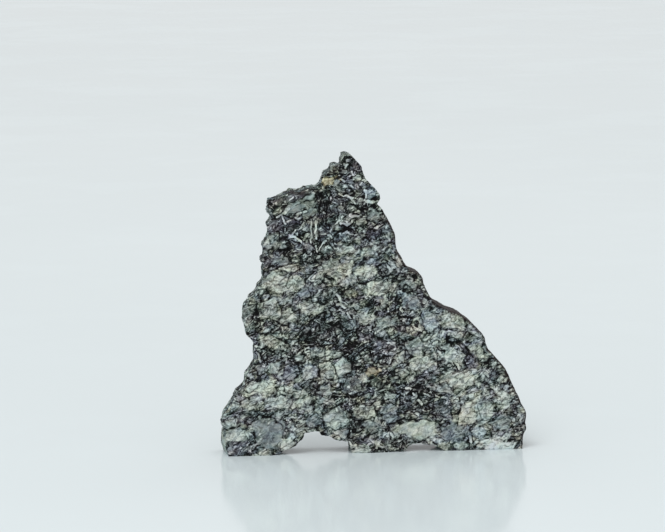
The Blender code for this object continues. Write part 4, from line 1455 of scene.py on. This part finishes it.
stone.data.materials.append(shergottite())
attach(stone, "root")
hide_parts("stone")
print("material:", stone.data.materials[0].name, "with",
      len(stone.data.materials[0].node_tree.nodes), "nodes")

# %% [markdown]
# ## The floor
#
# The stone stands on a pale, smooth surface, which mirrors it faintly. A plain wide sheet is
# enough: the camera looks down on it by eight degrees, so the floor fills the whole picture.

# %% Floor
FLOOR_HALF = 2.5             # metres
FLOOR_STEPS = 8
FLOOR_COLOURS = (0.735, 0.820, 0.842, 1.0), (0.755, 0.838, 0.860, 1.0)
FLOOR_ROUGHNESS, FLOOR_SHINE = (0.10, 0.16), 0.10


def floor_material():
    """A pale, faintly clouded colour under a soft shine. Here places are in metres."""
    made, shader, g = new_material("pale_floor")
    spot = g.place()
    soft = g.between(g.noise(spot, scale=6.0, detail=2.0), *NOISE_SPAN)
    g.plug(shader.inputs["Base Color"], g.mixed(soft, *FLOOR_COLOURS))
    worn = g.between(g.noise(spot, scale=40.0, detail=3.0), *NOISE_SPAN, *FLOOR_ROUGHNESS)
    g.plug(shader.inputs["Roughness"], worn)
    shader.inputs["Specular IOR Level"].default_value = FLOOR_SHINE
    return made


def floor_sheet(half, steps):
    """A level square sheet at z = 0, its points on an even grid."""
    line = np.linspace(-half, half, steps + 1)
    x, y = np.meshgrid(line, line)
    places = np.stack([x.ravel(), y.ravel(), np.zeros(x.size)], axis=1)
    made = skin("floor", places, sheet_quads(steps, 0, False), np.empty((0, 3), dtype=int))
    made.data.materials.append(floor_material())
    return made


floor = floor_sheet(FLOOR_HALF, FLOOR_STEPS)
print("floor:", FLOOR_HALF * 2, "m wide")

# %% [markdown]
# ## Light
#
# The picture is lit softly from all round, as in a light tent, with a little more from above
# and from the front. So the world itself gives white light, and a distant lamp with wide,
# soft rays above and before the stone adds just enough to show its relief. A second, weaker
# one behind it keeps the upper rims from going dark.

# %% Lights
def soft_sun(name, towards, power, spread):
    """A lamp far away in one direction, whose rays spread so that its shadows are soft."""
    lamp = bpy.data.lights.new(name, "SUN")
    lamp.energy, lamp.angle = power, math.radians(spread)
    made = bpy.data.objects.new(name, lamp)
    made.matrix_world = Vector(towards).to_track_quat("Z", "Y").to_matrix().to_4x4()
    bpy.context.scene.collection.objects.link(made)
    return made


WORLD_LIGHT = 0.67
soft_sun("above_front", (-0.35, -0.60, 0.75), power=1.24, spread=35.0)
soft_sun("behind", (0.20, 0.50, 0.85), power=0.30, spread=50.0)
world = bpy.data.worlds.new("studio")
world.use_nodes = True
background = world.node_tree.nodes["Background"]
background.inputs["Color"].default_value = (1.0, 1.0, 1.0, 1.0)
background.inputs["Strength"].default_value = WORLD_LIGHT
bpy.context.scene.world = world
bpy.context.scene.view_settings.view_transform = "Standard"
